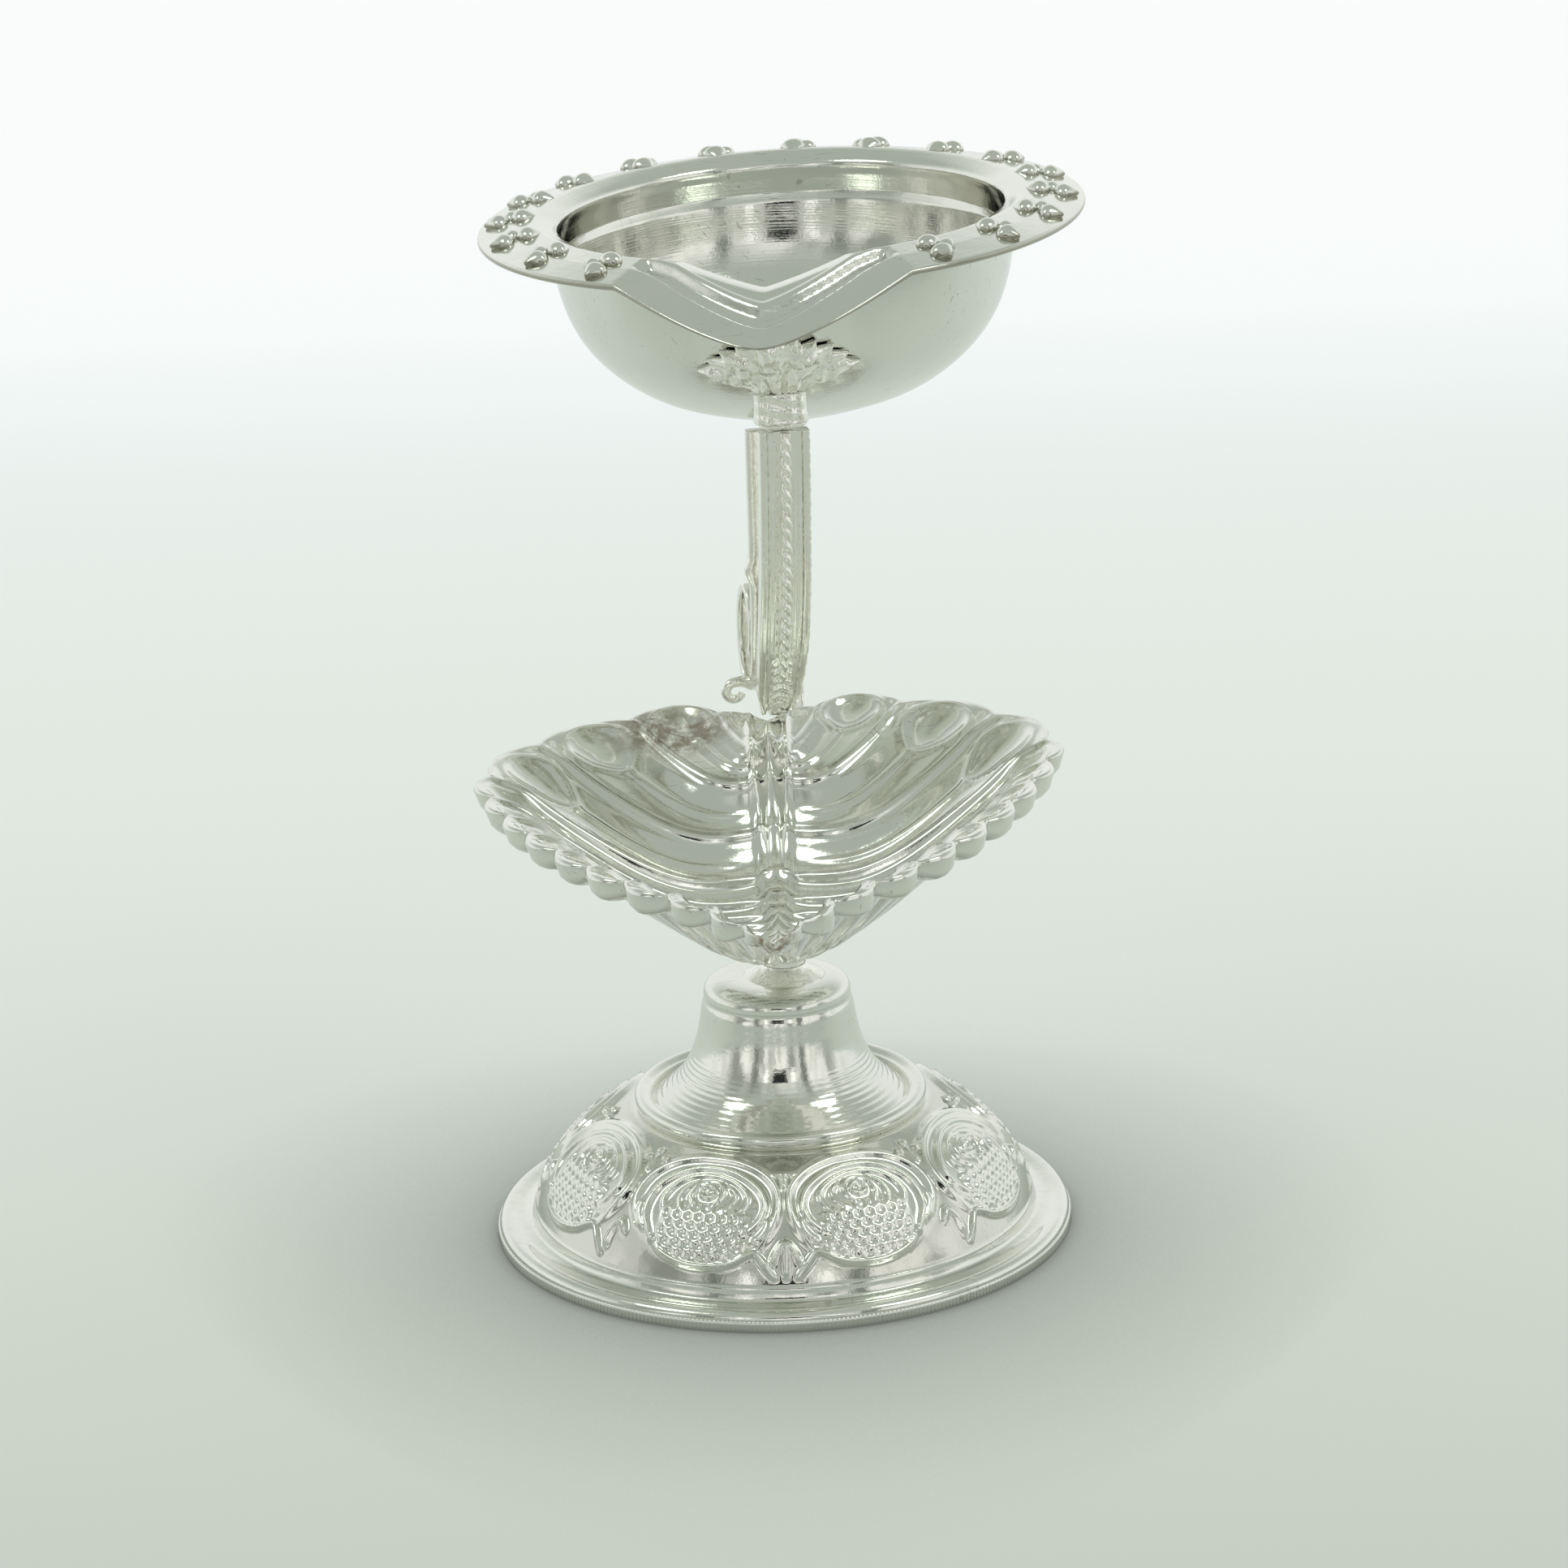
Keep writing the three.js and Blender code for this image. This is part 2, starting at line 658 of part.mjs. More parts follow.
// Spray and socket, laid on the bowl's wall below the lip

function wallRadiusAt(height) {
  const side = bowlProfile().slice(0, 9);
  for (let i = 1; i < side.length; i += 1) {
    const [[r0, z0], [r1, z1]] = [side[i - 1], side[i]];
    if (height <= z1) return r0 + (r1 - r0) * Math.max(0, (height - z0) / (z1 - z0));
  }
  return bowlWallRadius;
}

// The height of the wall's underside at a distance from the bowl's axis.
function underHeightAt(radius) {
  const side = bowlProfile().slice(0, 9);
  const outer = side.findIndex(([reach]) => reach >= radius);
  const [[r0, z0], [r1, z1]] = [side[outer - 1], side[outer]];
  return z0 + (z1 - z0) * (radius - r0) / (r1 - r0);
}

// A point off the wall's outer face: across runs to the right, up the wall, and off stands away.
function offWall(across, up, off, target) {
  const height = up - sprayDropBelowRim;
  const radius = wallRadiusAt(height);
  const slope = (wallRadiusAt(height + bowlSheet) - wallRadiusAt(height - bowlSheet)) / (2 * bowlSheet);
  const angle = (across + sprayOffset) / (radius + sprayThickness);
  const lean = Math.hypot(1, slope);
  bowlPoint(radius, height, angle, target);
  target.x += (off / lean) * Math.sin(angle);
  target.y -= (off / lean) * Math.cos(angle);
  target.z -= (off / lean) * slope;
}

// A plate with a crowned face that follows the wall inside an outline of [across, up] points.
function wallPlate(outline, thickness, lift) {
  const rings = [0, 0.45, 0.8, 1, 1, 0.8, 0.45, 0];
  return shaped(rings.length, outline.length, (ring, step, target) => {
    const share = rings[ring];
    const outer = ring >= rings.length / 2;
    const off = lift + (outer ? thickness * (1 - 0.55 * share ** 2) : 0);
    const [across, up] = outline[step];
    offWall(across * share, up * share, off, target);
  });
}

// Half of the spray's ragged edge, from the socket out to the wing's tip and up to the crown.
const sprayEdgeShares = [
  [0.2, -0.9], [0.48, -0.62], [0.76, -0.4], [1, -0.06], [0.8, 0.12], [0.86, 0.3], [0.64, 0.4],
  [0.68, 0.64], [0.48, 0.6], [0.47, 0.88], [0.31, 0.74], [0.24, 1], [0.12, 0.82],
];

function sprayGeometry() {
  const half = sprayEdgeShares.map(([across, up]) => [sprayHalfWidth * across, sprayHalfHeight * up]);
  const mirrored = half.map(([across, up]) => [-across, up]).reverse();
  const crown = [0, 0.95 * sprayHalfHeight];
  const foot = [0, -0.95 * sprayHalfHeight];
  return wallPlate([foot, ...half, crown, ...mirrored], sprayThickness, 2 * seatGap);
}

// The socket fills the wedge between the sloping wall and an upright front, under the spray.
const socketTop = -sprayDropBelowRim - sprayHalfHeight - sprayThickness / 2;

function socketGeometry() {
  const front = wallRadiusAt(socketTop) + socketStandOff;
  const block = new THREE.BoxGeometry(socketWidth, 1, socketLength, 4, 1, 3);
  const position = block.attributes.position;
  for (let i = 0; i < position.count; i += 1) {
    const height = socketTop - socketLength / 2 + position.getZ(i);
    const across = position.getX(i);
    const crown = bandBeadHeight * (2 * across / socketWidth) ** 2;
    const out = position.getY(i) > 0 ? wallRadiusAt(height) + 3 * seatGap : front - crown;
    position.setXYZ(i, across + sprayOffset, -out, height);
  }
  return cleanBody(block);
}

// Assembly

function piece(name, geometry, material) {
  const mesh = new THREE.Mesh(geometry, material);
  mesh.name = name;
  return mesh;
}

const stemStand = new THREE.Vector3(stemStandX, stemStandY, leafRimHeight + seatGap);
const stemTilt = new THREE.Euler(0, degrees(stemLeanDegrees), degrees(stemTurnDegrees), 'YZX');
const bowlTilt = new THREE.Euler(-degrees(bowlPitchDegrees), -degrees(bowlRollDegrees), 0);

function stemGroup() {
  const stem = new THREE.Group();
  stem.position.copy(stemStand);
  stem.rotation.copy(stemTilt);
  const backScroll = strip(backStripWidth, backStripThickness, backScrollPath(), stemSteps);
  stem.add(
    piece('stem_band', bandGeometry(), materials.cast),
    piece('stem_rope', wire(ropeRadius, ropePath, stemSteps, 6), materials.cast),
    piece('stem_back_scroll', backScroll, materials.cast),
  );
  const leg = piece('stem_leg', strip(legWidth, legThickness, legPath, 12), materials.cast);
  leg.position.x = legOffset;
  const curl = piece('stem_curl', curlGeometry(), materials.cast);
  const curlAcross = -backStripWidth / 2 - legGap - 1.6 * curlRadius;
  curl.position.set(curlAcross, stripBack + voluteRadius / 2, curlRadius + curlWireRadius);
  const solder = new THREE.SphereGeometry(1, 10, 6);
  solder.scale(bandWidth / 2, bandThickness, headSolderThickness / 2);
  const headSolder = piece('stem_head_solder', cleanBody(solder), materials.solder);
  headSolder.position.set(0, headBack - bandThickness / 2, headUp + seatGap + headSolderThickness / 2);
  stem.add(leg, curl, headSolder);
  return stem;
}

// Where the bowl's middle goes: its socket ends over the solder on the stem's head.
function bowlPlace() {
  const solderTop = headUp + seatGap + headSolderThickness;
  const head = new THREE.Vector3(0, headBack - bandThickness / 2, solderTop);
  head.applyEuler(stemTilt).add(stemStand);
  const socketBottom = socketTop - socketLength;
  const socketOut = wallRadiusAt(socketTop) + socketStandOff / 2;
  const socketFoot = new THREE.Vector3(sprayOffset, -socketOut, socketBottom).applyEuler(bowlTilt);
  return head.sub(socketFoot).add(new THREE.Vector3(socketAside, socketSetBack, seatGap));
}

function bowlGroup() {
  const bowl = new THREE.Group();
  bowl.position.copy(bowlPlace());
  bowl.rotation.copy(bowlTilt);
  bowl.add(
    piece('upper_bowl', bowlGeometry(), materials.spun),
    piece('bowl_spray', sprayGeometry(), materials.cast),
    piece('bowl_socket', socketGeometry(), materials.cast),
  );
  return bowl;
}

function neckGroup() {
  const neck = new THREE.Group();
  neck.position.x = neckOffset;
  neck.add(
    piece('neck_post', neckGeometry(), materials.cast),
    piece('neck_solder_lower', solderGeometry(neckFoot, 1), materials.solder),
    piece('neck_solder_upper', solderGeometry(neckTop, -1), materials.solder),
  );
  return neck;
}

// The dish is tilted a little about the middle of its keel.
function leafGroup() {
  const leaf = new THREE.Group();
  leaf.position.set(leafOffset, 0, leafKeelHeight);
  leaf.rotation.y = -degrees(leafRollDegrees);
  const dish = piece('leaf_dish', leafGeometry(), materials.pressed);
  dish.position.z = -leafKeelHeight;
  leaf.add(dish);
  return leaf;
}

const onFootAxis = new THREE.Group();
onFootAxis.add(
  piece('foot', footGeometry(), materials.pressed),
  piece('bell_ring', ringGeometry(), materials.cast),
  piece('bell', bellGeometry(), materials.spun),
  neckGroup(),
  leafGroup(),
  stemGroup(),
  bowlGroup(),
);

// The lamp's origin is the middle of its plan, on the surface that it stands on.
const group = new THREE.Group();
group.add(onFootAxis);
group.updateMatrixWorld(true);
const extent = new THREE.Box3().setFromObject(group, true);
onFootAxis.position.set(-(extent.min.x + extent.max.x) / 2, -(extent.min.y + extent.max.y) / 2, 0);

export default group;
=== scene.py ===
"""A two-tier standing oil lamp in polished silver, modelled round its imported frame.

The lamp's front, with the leaf's tip and the bowl's lip, faces -Y. Lengths are in metres.
"""

from math import cos, hypot, pi, radians, sin, sqrt

import bpy
import numpy as np
from bpy.props import FloatProperty, FloatVectorProperty, IntProperty, PointerProperty
from bpy.types import Operator, Panel, PropertyGroup
from mathutils import Matrix, Vector, noise


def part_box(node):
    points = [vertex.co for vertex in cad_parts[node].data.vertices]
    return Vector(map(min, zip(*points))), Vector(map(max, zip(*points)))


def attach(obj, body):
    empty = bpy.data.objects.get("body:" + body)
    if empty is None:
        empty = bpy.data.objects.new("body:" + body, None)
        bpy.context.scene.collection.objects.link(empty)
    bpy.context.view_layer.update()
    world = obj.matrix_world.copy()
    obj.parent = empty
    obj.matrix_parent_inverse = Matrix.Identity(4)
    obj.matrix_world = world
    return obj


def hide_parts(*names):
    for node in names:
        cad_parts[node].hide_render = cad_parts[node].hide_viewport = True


bl_info = {
    "name": "Two-tier silver lamp",
    "version": (1, 0, 0),
    "blender": (4, 5, 0),
    "location": "View3D > Sidebar > Silver lamp",
    "description": "Builds a two-tier standing oil lamp in polished silver",
    "category": "Add Mesh",
}

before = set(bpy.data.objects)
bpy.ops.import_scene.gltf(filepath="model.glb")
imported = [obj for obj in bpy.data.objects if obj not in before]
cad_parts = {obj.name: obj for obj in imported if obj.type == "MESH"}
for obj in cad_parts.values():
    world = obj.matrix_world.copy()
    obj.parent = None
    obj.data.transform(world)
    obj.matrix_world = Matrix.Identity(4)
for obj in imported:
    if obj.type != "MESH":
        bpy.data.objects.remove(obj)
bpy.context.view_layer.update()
MM = 0.001
WELD = 0.000001
TURN = 2 * pi


def middle(node):
    """The middle of a node's box in plan."""
    low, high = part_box(node)
    return (low[0] + high[0]) / 2, (low[1] + high[1]) / 2


FOOT_X, FOOT_Y = middle("foot")
FOOT_LOW, FOOT_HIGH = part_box("foot")
BELL_LOW, BELL_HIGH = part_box("bell")
RING_LOW, RING_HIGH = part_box("bell_ring")
NECK_LOW, NECK_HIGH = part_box("neck_post")
ON_AXIS = Matrix.Translation((FOOT_X, FOOT_Y, 0))


# Properties


def length(name, millimetres, text):
    """A length that can be set, given in millimetres."""
    return FloatProperty(name=name, description=text, default=millimetres * MM, precision=5,
                         subtype="DISTANCE", unit="LENGTH")


def angle(name, value, text):
    """An angle that can be set, given in degrees."""
    return FloatProperty(name=name, description=text, default=radians(value), subtype="ANGLE",
                         unit="ROTATION")


def share(name, value, text):
    """A share from 0 to 1."""
    return FloatProperty(name=name, description=text, default=value, min=0, max=1, subtype="FACTOR")


def number(name, value, text):
    """A plain number."""
    return FloatProperty(name=name, description=text, default=value)


def count(name, value, text):
    """A whole number of repeats or steps."""
    return IntProperty(name=name, description=text, default=value, min=1)


def colour(name, value, text):
    """A linear colour."""
    return FloatVectorProperty(name=name, description=text, default=value, size=3, min=0, max=1,
                               subtype="COLOR")


class LampFootSizes(PropertyGroup):
    radius: length("Radius", (FOOT_HIGH[0] - FOOT_LOW[0]) / 2 / MM, "Outer radius of the milled edge")
    height: length("Height", FOOT_HIGH[2] / MM, "Top of the skirt")
    edge_height: length("Edge height", 1.25, "Height of the milled edge")
    edge_width: length("Edge width", 1.5, "Width of the rolled edge")
    sheet: length("Sheet", 0.8, "Thickness of the sheet")
    roll_rise: length("Roll rise", 0.8, "Height of the roll over the milled edge")
    flange_width: length("Flange width", 3.4, "Width of the flat flange")
    flange_dish: length("Flange dish", 0.25, "How far the flange is dished")
    step_rise: length("Step rise", 1.4, "Rise of the skirt's foot over the flange")
    skirt_top: length("Skirt top radius", 15.8, "Radius of the skirt's top")
    skirt_bulge: length("Skirt bulge", 1.5, "How far the skirt swells over a straight cone")
    collar: length("Collar radius", 11.4, "Radius of the hole under the bell")
    relief: length("Relief", 0.62, "Height of the embossed outlines")
    cell_pitch: length("Cell pitch", 1.12, "Pitch of the honeycomb cells in the medallions")
    medallions: count("Medallions", 8, "Embossed medallions round the skirt")
    reeds: count("Reeds", 420, "Reeds of the milled edge")
    reed_depth: length("Reed depth", 0.14, "Depth of the reeds")


class LampBellSizes(PropertyGroup):
    mouth: length("Mouth radius", (BELL_HIGH[0] - BELL_LOW[0]) / 2 / MM, "Radius of the flared mouth")
    shoulder: length("Shoulder radius", 7.6, "Radius of the shoulder")
    sheet: length("Sheet", 0.8, "Thickness of the sheet")
    hole: length("Hole radius", 1.2, "Radius of the hole in the dome")
    groove: length("Groove depth", 0.04, "Depth of the turning lines on the flare")
    wire: length("Ring wire", (RING_HIGH[2] - RING_LOW[2]) / 2 / MM, "Radius of the ring's wire")
    neck: length("Neck radius", 2.25, "Radius of the neck")
    neck_flare: length("Neck flare", 0.35, "Widening of the neck's ends")
    solder_reach: length("Solder reach", 1.7, "How far the solder spreads")
    solder_height: length("Solder height", 1.1, "How high the solder climbs")
    gap: length("Seat gap", 0.3, "Clearance between touching pieces")


class LampLeafSizes(PropertyGroup):
    half_width: length("Half width", 28.9, "Half width without the scallops")
    offset: length("Offset", 0.4, "How far the leaf stands to the right of the foot's axis")
    tip: length("Tip reach", 51, "Reach of the tip in front of the foot's axis")
    back: length("Back reach", 23.3, "Reach of the back lobes behind the axis")
    notch: length("Notch reach", 18, "Reach of the notch behind the axis")
    rim: length("Rim height", 49.3, "Height of the rim")
    keel: length("Keel height", 34.6, "Height of the lowest point of the well")
    sheet: length("Sheet", 0.85, "Thickness of the sheet")
    margin: length("Margin", 2.7, "Thickness of the rounded margin")
    scallop: length("Scallop depth", 1.6, "Depth of the scallops")
    flute: length("Flute depth", 0.9, "Depth of the flutes")
    dip: length("Vein dip", 5, "How far the back veins bow forwards")
    rib: length("Rib height", 0.8, "Height of the midrib")
    rib_half: length("Rib half width", 1.9, "Half the width of the double midrib at the notch")
    ridge: length("Ridge height", 0.5, "Height of the ridges between the flutes")
    second_ridge: length("Second ridge height", 0.34, "Height of the ridge inside each back lobe")
    drop: length("Drop depth", 1, "Depth of the drop-shaped hollows at the margin")
    roll: angle("Roll", 2, "Tilt of the dish to its left")


class LampStemSizes(PropertyGroup):
    turn: angle("Turn", 12, "Turn of the scroll's plane")
    lean: angle("Lean", 0.4, "Lean of the scroll")
    stand_x: length("Stand X", 0.55, "Where the stem stands, to the right of the foot's axis")
    stand_y: length("Stand Y", 19.4, "Where the stem stands, behind the foot's axis")
    rise: length("Rise", 34, "Height of the scroll over the leaf's rim")
    bulge: length("Bulge", 7, "Forward bow of the scroll")
    band: length("Band width", 5.3, "Width of the front band")
    band_thickness: length("Band thickness", 1.3, "Thickness of the front band")
    bead_width: length("Bead width", 0.8, "Width of the band's raised edges")
    bead_height: length("Bead height", 0.35, "Height of the band's raised edges")
    chevron: length("Chevron height", 0.45, "Height of the chevrons on the band's foot")
    chevron_pitch: length("Chevron pitch", 1.15, "Pitch of the chevrons")
    rope: length("Rope radius", 0.65, "Radius of the twisted wire")
    rope_lay: length("Rope lay", 2.8, "Length of one turn of the twisted wire")
    back_width: length("Back width", 3.4, "Width of the rear strap")
    back_thickness: length("Back thickness", 1.1, "Thickness of the rear strap")
    back_top: length("Back top", 30.4, "Height of the rear strap over the leaf")
    volute: length("Volute radius", 4.3, "Half the depth of the volute")
    volute_height: length("Volute height", 6.6, "Half the height of the volute")
    leg_width: length("Leg width", 2.2, "Width of the leg")
    leg_thickness: length("Leg thickness", 1.2, "Thickness of the leg")
    leg_reach: length("Leg reach", 4.6, "How far the leg reaches under the leaf's rim")
    leg_gap: length("Leg gap", 0.4, "Room beside the volute for the leg and the curl")
    curl: length("Curl radius", 1, "Radius of the small scroll end")
    curl_wire: length("Curl wire", 0.62, "Radius of the small scroll's wire")
    solder: length("Solder", 0.6, "Thickness of the solder under the socket")


class LampBowlSizes(PropertyGroup):
    rim: length("Rim radius", 31.8, "Outer radius of the beaded flange")
    height: length("Rim height", 100.603, "Height of the flange")
    mouth: length("Mouth radius", 25, "Inner radius of the flange")
    wall: length("Wall radius", 24.1, "Outer radius of the wall")
    depth: length("Depth", 21, "Depth under the flange")
    flange_rise: length("Flange rise", 1.3, "Slope of the flange")
    sheet: length("Sheet", 0.75, "Thickness of the sheet")
    step_depth: length("Step depth", 4.4, "Depth of the step inside")
    step_width: length("Step width", 0.5, "Width of the step inside")
    set_back: length("Set-back", 31.004, "How far the bowl stands behind the foot's axis")
    offset: length("Offset", 3.097, "How far the bowl stands to the right of the foot's axis")
    roll: angle("Roll", 2.1, "Tilt to the left")
    pitch: angle("Pitch", 1, "Tilt to the front")
    lip_reach: length("Lip reach", 5.6, "Reach of the pouring lip")
    lip_drop: length("Lip drop", 4.9, "Drop of the pouring lip")
    lip_inner_reach: length("Inner lip reach", 2.5, "Reach of the mouth under the lip")
    lip_inner_drop: length("Inner lip drop", 2.1, "Drop of the mouth under the lip")
    lip_half: angle("Lip half angle", 28.5, "Half of the angle that the lip takes")
    lip_turn: angle("Lip turn", -4.3, "Middle of the lip from the bowl's front")
    lip_groove: length("Lip groove", 0.9, "Depth of the groove across the lip")
    clusters: count("Bead clusters", 17, "Clusters of three beads on the flange")
    bead_first: angle("First bead", 33, "Angle of the first cluster, from the front to the right")
    bead_last: angle("Last bead", 320, "Angle of the last cluster")
    bead_length: length("Bead length", 1.38, "Half the length of a bead round the flange")
    bead_width: length("Bead width", 1.2, "Half the width of a bead across the flange")
    bead_height: length("Bead height", 1.0925, "Height of a bead")
    spray_half_width: length("Spray half width", 9, "Half the width of the spray")
    spray_half_height: length("Spray half height", 3.3, "Half the height of the spray")
    spray_thickness: length("Spray thickness", 1.3, "Thickness of the spray")
    spray_drop: length("Spray drop", 10.4, "Middle of the spray under the rim")
    spray_offset: length("Spray offset", -1.3, "Middle of the spray from the bowl's front")
    socket_width: length("Socket width", 5.8, "Width of the socket")
    socket_stand: length("Socket stand-off", 1.5, "How far the socket's front stands off the wall")
    socket_length: length("Socket length", 2.6, "Height of the socket")


class LampFinish(PropertyGroup):
    silver: colour("Silver", (0.79, 0.795, 0.75), "Polished silver")
    cast: colour("Cast silver", (0.93, 0.925, 0.865), "Silver of the cast pieces")
    bright: colour("Bright silver", (0.98, 0.975, 0.93), "Edges of the cast pieces, worn bright")
    # Colour of the specks and hairlines, and of the painted shade in the hollows of the foot, under the
    # bowl's rim and round the beads' feet.
    tarnish_and_shade: colour("Tarnish", (0.34, 0.33, 0.27), "Colour of the painted_shade_tone in the hollows")
    stain: colour("Stain", (0.33, 0.27, 0.21), "Burnt patch on the leaf")
    polish: share("Polish", 0.06, "Roughness of the polished sheet")
    grain: length("Grain", 0.01, "Depth of the fine grain")


class LampStage(PropertyGroup):
    distance: length("Camera distance", 670.6, "From the foot's axis to the camera, level")
    height: length("Camera height", 273.4, "Height of the camera")
    aside: length("Camera aside", 1.44, "How far the camera stands to the right")
    pitch: angle("Camera pitch", 18.56, "How far the camera looks down")
    roll: angle("Camera roll", 1.92, "Turn of the picture")
    lens: number("Lens", 158.385, "Focal length in millimetres")
    floor_glow: number("Floor glow", 1.53, "Brightness of the floor as the camera sees it")
    floor_mirrored: number("Mirrored floor", 1.25, "Brightness of the floor as the silver mirrors it")
    # Painted light: the floor's colour runs from dim at the front to bright at the back.
    far: colour("Far floor", (0.905, 0.905, 0.92), "Colour of the floor at the back")
    near: colour("Near floor", (0.505, 0.54, 0.5), "Colour of the floor at the front")
    tent_front: colour("Tent front", (1, 1, 0.95), "The tent on the camera's side")
    tent_dark: colour("Tent shade", (0.34, 0.36, 0.32), "Patches of shade on the camera's side")
    tent_seam: colour("Tent seam", (0.2, 0.22, 0.2), "The upright gaps on either side of the camera")
    tent_back: colour("Tent back", (0.9, 0.93, 0.9), "The tent behind the lamp")
    tent_top: colour("Tent top", (0.46, 0.5, 0.45), "The top of the tent")
    contact: share("Contact shade", 0.38, "Brightness of the floor next to the foot")
    glow: number("Lamp glow", 4, "Strength of the two lamps over the tent")
    light: number("Light", 1, "Strength of the surrounding light")


class LampSettings(PropertyGroup):
    foot: PointerProperty(type=LampFootSizes)
    bell: PointerProperty(type=LampBellSizes)
    leaf: PointerProperty(type=LampLeafSizes)
    stem: PointerProperty(type=LampStemSizes)
    bowl: PointerProperty(type=LampBowlSizes)
    finish: PointerProperty(type=LampFinish)
    stage: PointerProperty(type=LampStage)


# Curves and formulas


def ease(low, high, value):
    """A smooth step from 0 at low to 1 at high."""
    part = np.clip((value - low) / (high - low), 0, 1)
    return part * part * (3 - 2 * part)


def hinged(value, at, soft):
    """Rises from 0 to 1, level at first and then straight, with a soft bend between the two."""
    low, here, high = (x - at + np.hypot(x - at, soft) for x in (0, value, 1))
    return (here - low) / (high - low)


def evenly(points, steps):
    """Points spaced evenly along a polyline."""
    gone = np.concatenate([[0], np.cumsum(np.linalg.norm(np.diff(points, axis=0), axis=1))])
    places = np.linspace(0, gone[-1], steps + 1)
    return np.stack([np.interp(places, gone, axis) for axis in points.T], 1)


def smooth_path(points, steps):
    """A centripetal Catmull-Rom curve through the points, cut into even steps."""
    points = np.asarray(points, float)
    knots = np.vstack([2 * points[0] - points[1], points, 2 * points[-1] - points[-2]])
    gaps = np.sqrt(np.linalg.norm(np.diff(knots, axis=0), axis=1))
    part = np.linspace(0, 1, 24, endpoint=False)[:, None]
    pieces = []
    for i in range(1, len(knots) - 2):
        before, here, after = gaps[i - 1:i + 2]
        last, first, second, following = knots[i - 1:i + 3]
        leave = (first - last) / before - (second - last) / (before + here) + (second - first) / here
        arrive = (second - first) / here - (following - first) / (here + after)
        arrive = arrive + (following - second) / after
        pieces.append((2 * part**3 - 3 * part**2 + 1) * first + (part**3 - 2 * part**2 + part) * leave * here
                      + (3 * part**2 - 2 * part**3) * second + (part**3 - part**2) * arrive * here)
    return evenly(np.vstack([*pieces, knots[-2:-1]]), steps)


def along_path(path, parts):
    """The points and unit tangents of a path at shares of its length."""
    places = np.linspace(0, 1, len(path))
    slopes = np.gradient(path, axis=0)
    slopes /= np.linalg.norm(slopes, axis=1)[:, None]
    spots = np.stack([np.interp(parts, places, axis) for axis in path.T], -1)
    tangents = np.stack([np.interp(parts, places, axis) for axis in slopes.T], -1)
    return spots, tangents / np.linalg.norm(tangents, axis=-1)[..., None]


def distance_to(across, up, path):
    """How far points lie from a polyline, and at which share of it."""
    best = np.full(across.shape, np.inf)
    where = np.zeros(across.shape)
    steps = len(path) - 1
    for i in range(steps):
        (x0, y0), (x1, y1) = path[i], path[i + 1]
        dx, dy = x1 - x0, y1 - y0
        part = np.clip(((across - x0) * dx + (up - y0) * dy) / (dx * dx + dy * dy), 0, 1)
        gap = np.hypot(across - x0 - part * dx, up - y0 - part * dy)
        closer = gap < best
        best = np.where(closer, gap, best)
        where = np.where(closer, (i + part) / steps, where)
    return best, where


def wander(points, size, seed):
    """Smooth, repeatable unevenness between -1 and 1 at each point."""
    offset = Vector((seed, 2.3 * seed, 0.7 * seed))
    return np.array([noise.noise(Vector(point) / size + offset) for point in points])


# Modelling helpers


def deselect():
    """Leaves edit mode and selects nothing."""
    if bpy.context.object and bpy.context.object.mode != "OBJECT":
        bpy.ops.object.mode_set(mode="OBJECT")
    bpy.ops.object.select_all(action="DESELECT")


def places(piece):
    """The piece's points as an array."""
    values = np.empty(3 * len(piece.data.vertices))
    piece.data.vertices.foreach_get("co", values)
    return values.reshape(-1, 3)


def move_points(piece, points):
    """Moves the piece's points to an array of places."""
    piece.data.vertices.foreach_set("co", np.ascontiguousarray(points).ravel())
    piece.data.update()


def close_up(piece):
    """Welds doubles, turns the faces outwards and shades the piece smooth."""
    bpy.ops.object.mode_set(mode="EDIT")
    bpy.ops.mesh.select_all(action="SELECT")
    bpy.ops.mesh.remove_doubles(threshold=WELD)
    bpy.ops.mesh.dissolve_degenerate(threshold=WELD)
    bpy.ops.mesh.normals_make_consistent(inside=False)
    bpy.ops.object.mode_set(mode="OBJECT")
    bpy.ops.object.shade_smooth()


def turned(name, profile, steps):
    """Traces a profile of (radius, height) points and spins it round the Z axis."""
    deselect()
    bpy.ops.mesh.primitive_plane_add(size=MM)
    piece = bpy.context.object
    piece.name = name
    bpy.ops.object.mode_set(mode="EDIT")
    bpy.ops.mesh.select_all(action="SELECT")
    bpy.ops.mesh.merge(type="CENTER")
    bpy.ops.transform.translate(value=(profile[0][0], 0, profile[0][1]))
    for (radius, height), (next_radius, next_height) in zip(profile, profile[1:]):
        move = {"value": (next_radius - radius, 0, next_height - height)}
        bpy.ops.mesh.extrude_region_move(TRANSFORM_OT_translate=move)
    bpy.ops.mesh.select_all(action="SELECT")
    bpy.ops.mesh.spin(steps=steps, angle=TURN, center=(0, 0, 0), axis=(0, 0, 1))
    close_up(piece)
    return piece


def formed(name, columns, rows, place):
    """A grid whose points are moved to place(u, v), with u and v from 0 to 1."""
    deselect()
    bpy.ops.mesh.primitive_grid_add(x_subdivisions=columns, y_subdivisions=rows, size=1)
    piece = bpy.context.object
    piece.name = name
    start = places(piece) + 0.5
    move_points(piece, place(start[:, 0], start[:, 1]))
    close_up(piece)
    return piece


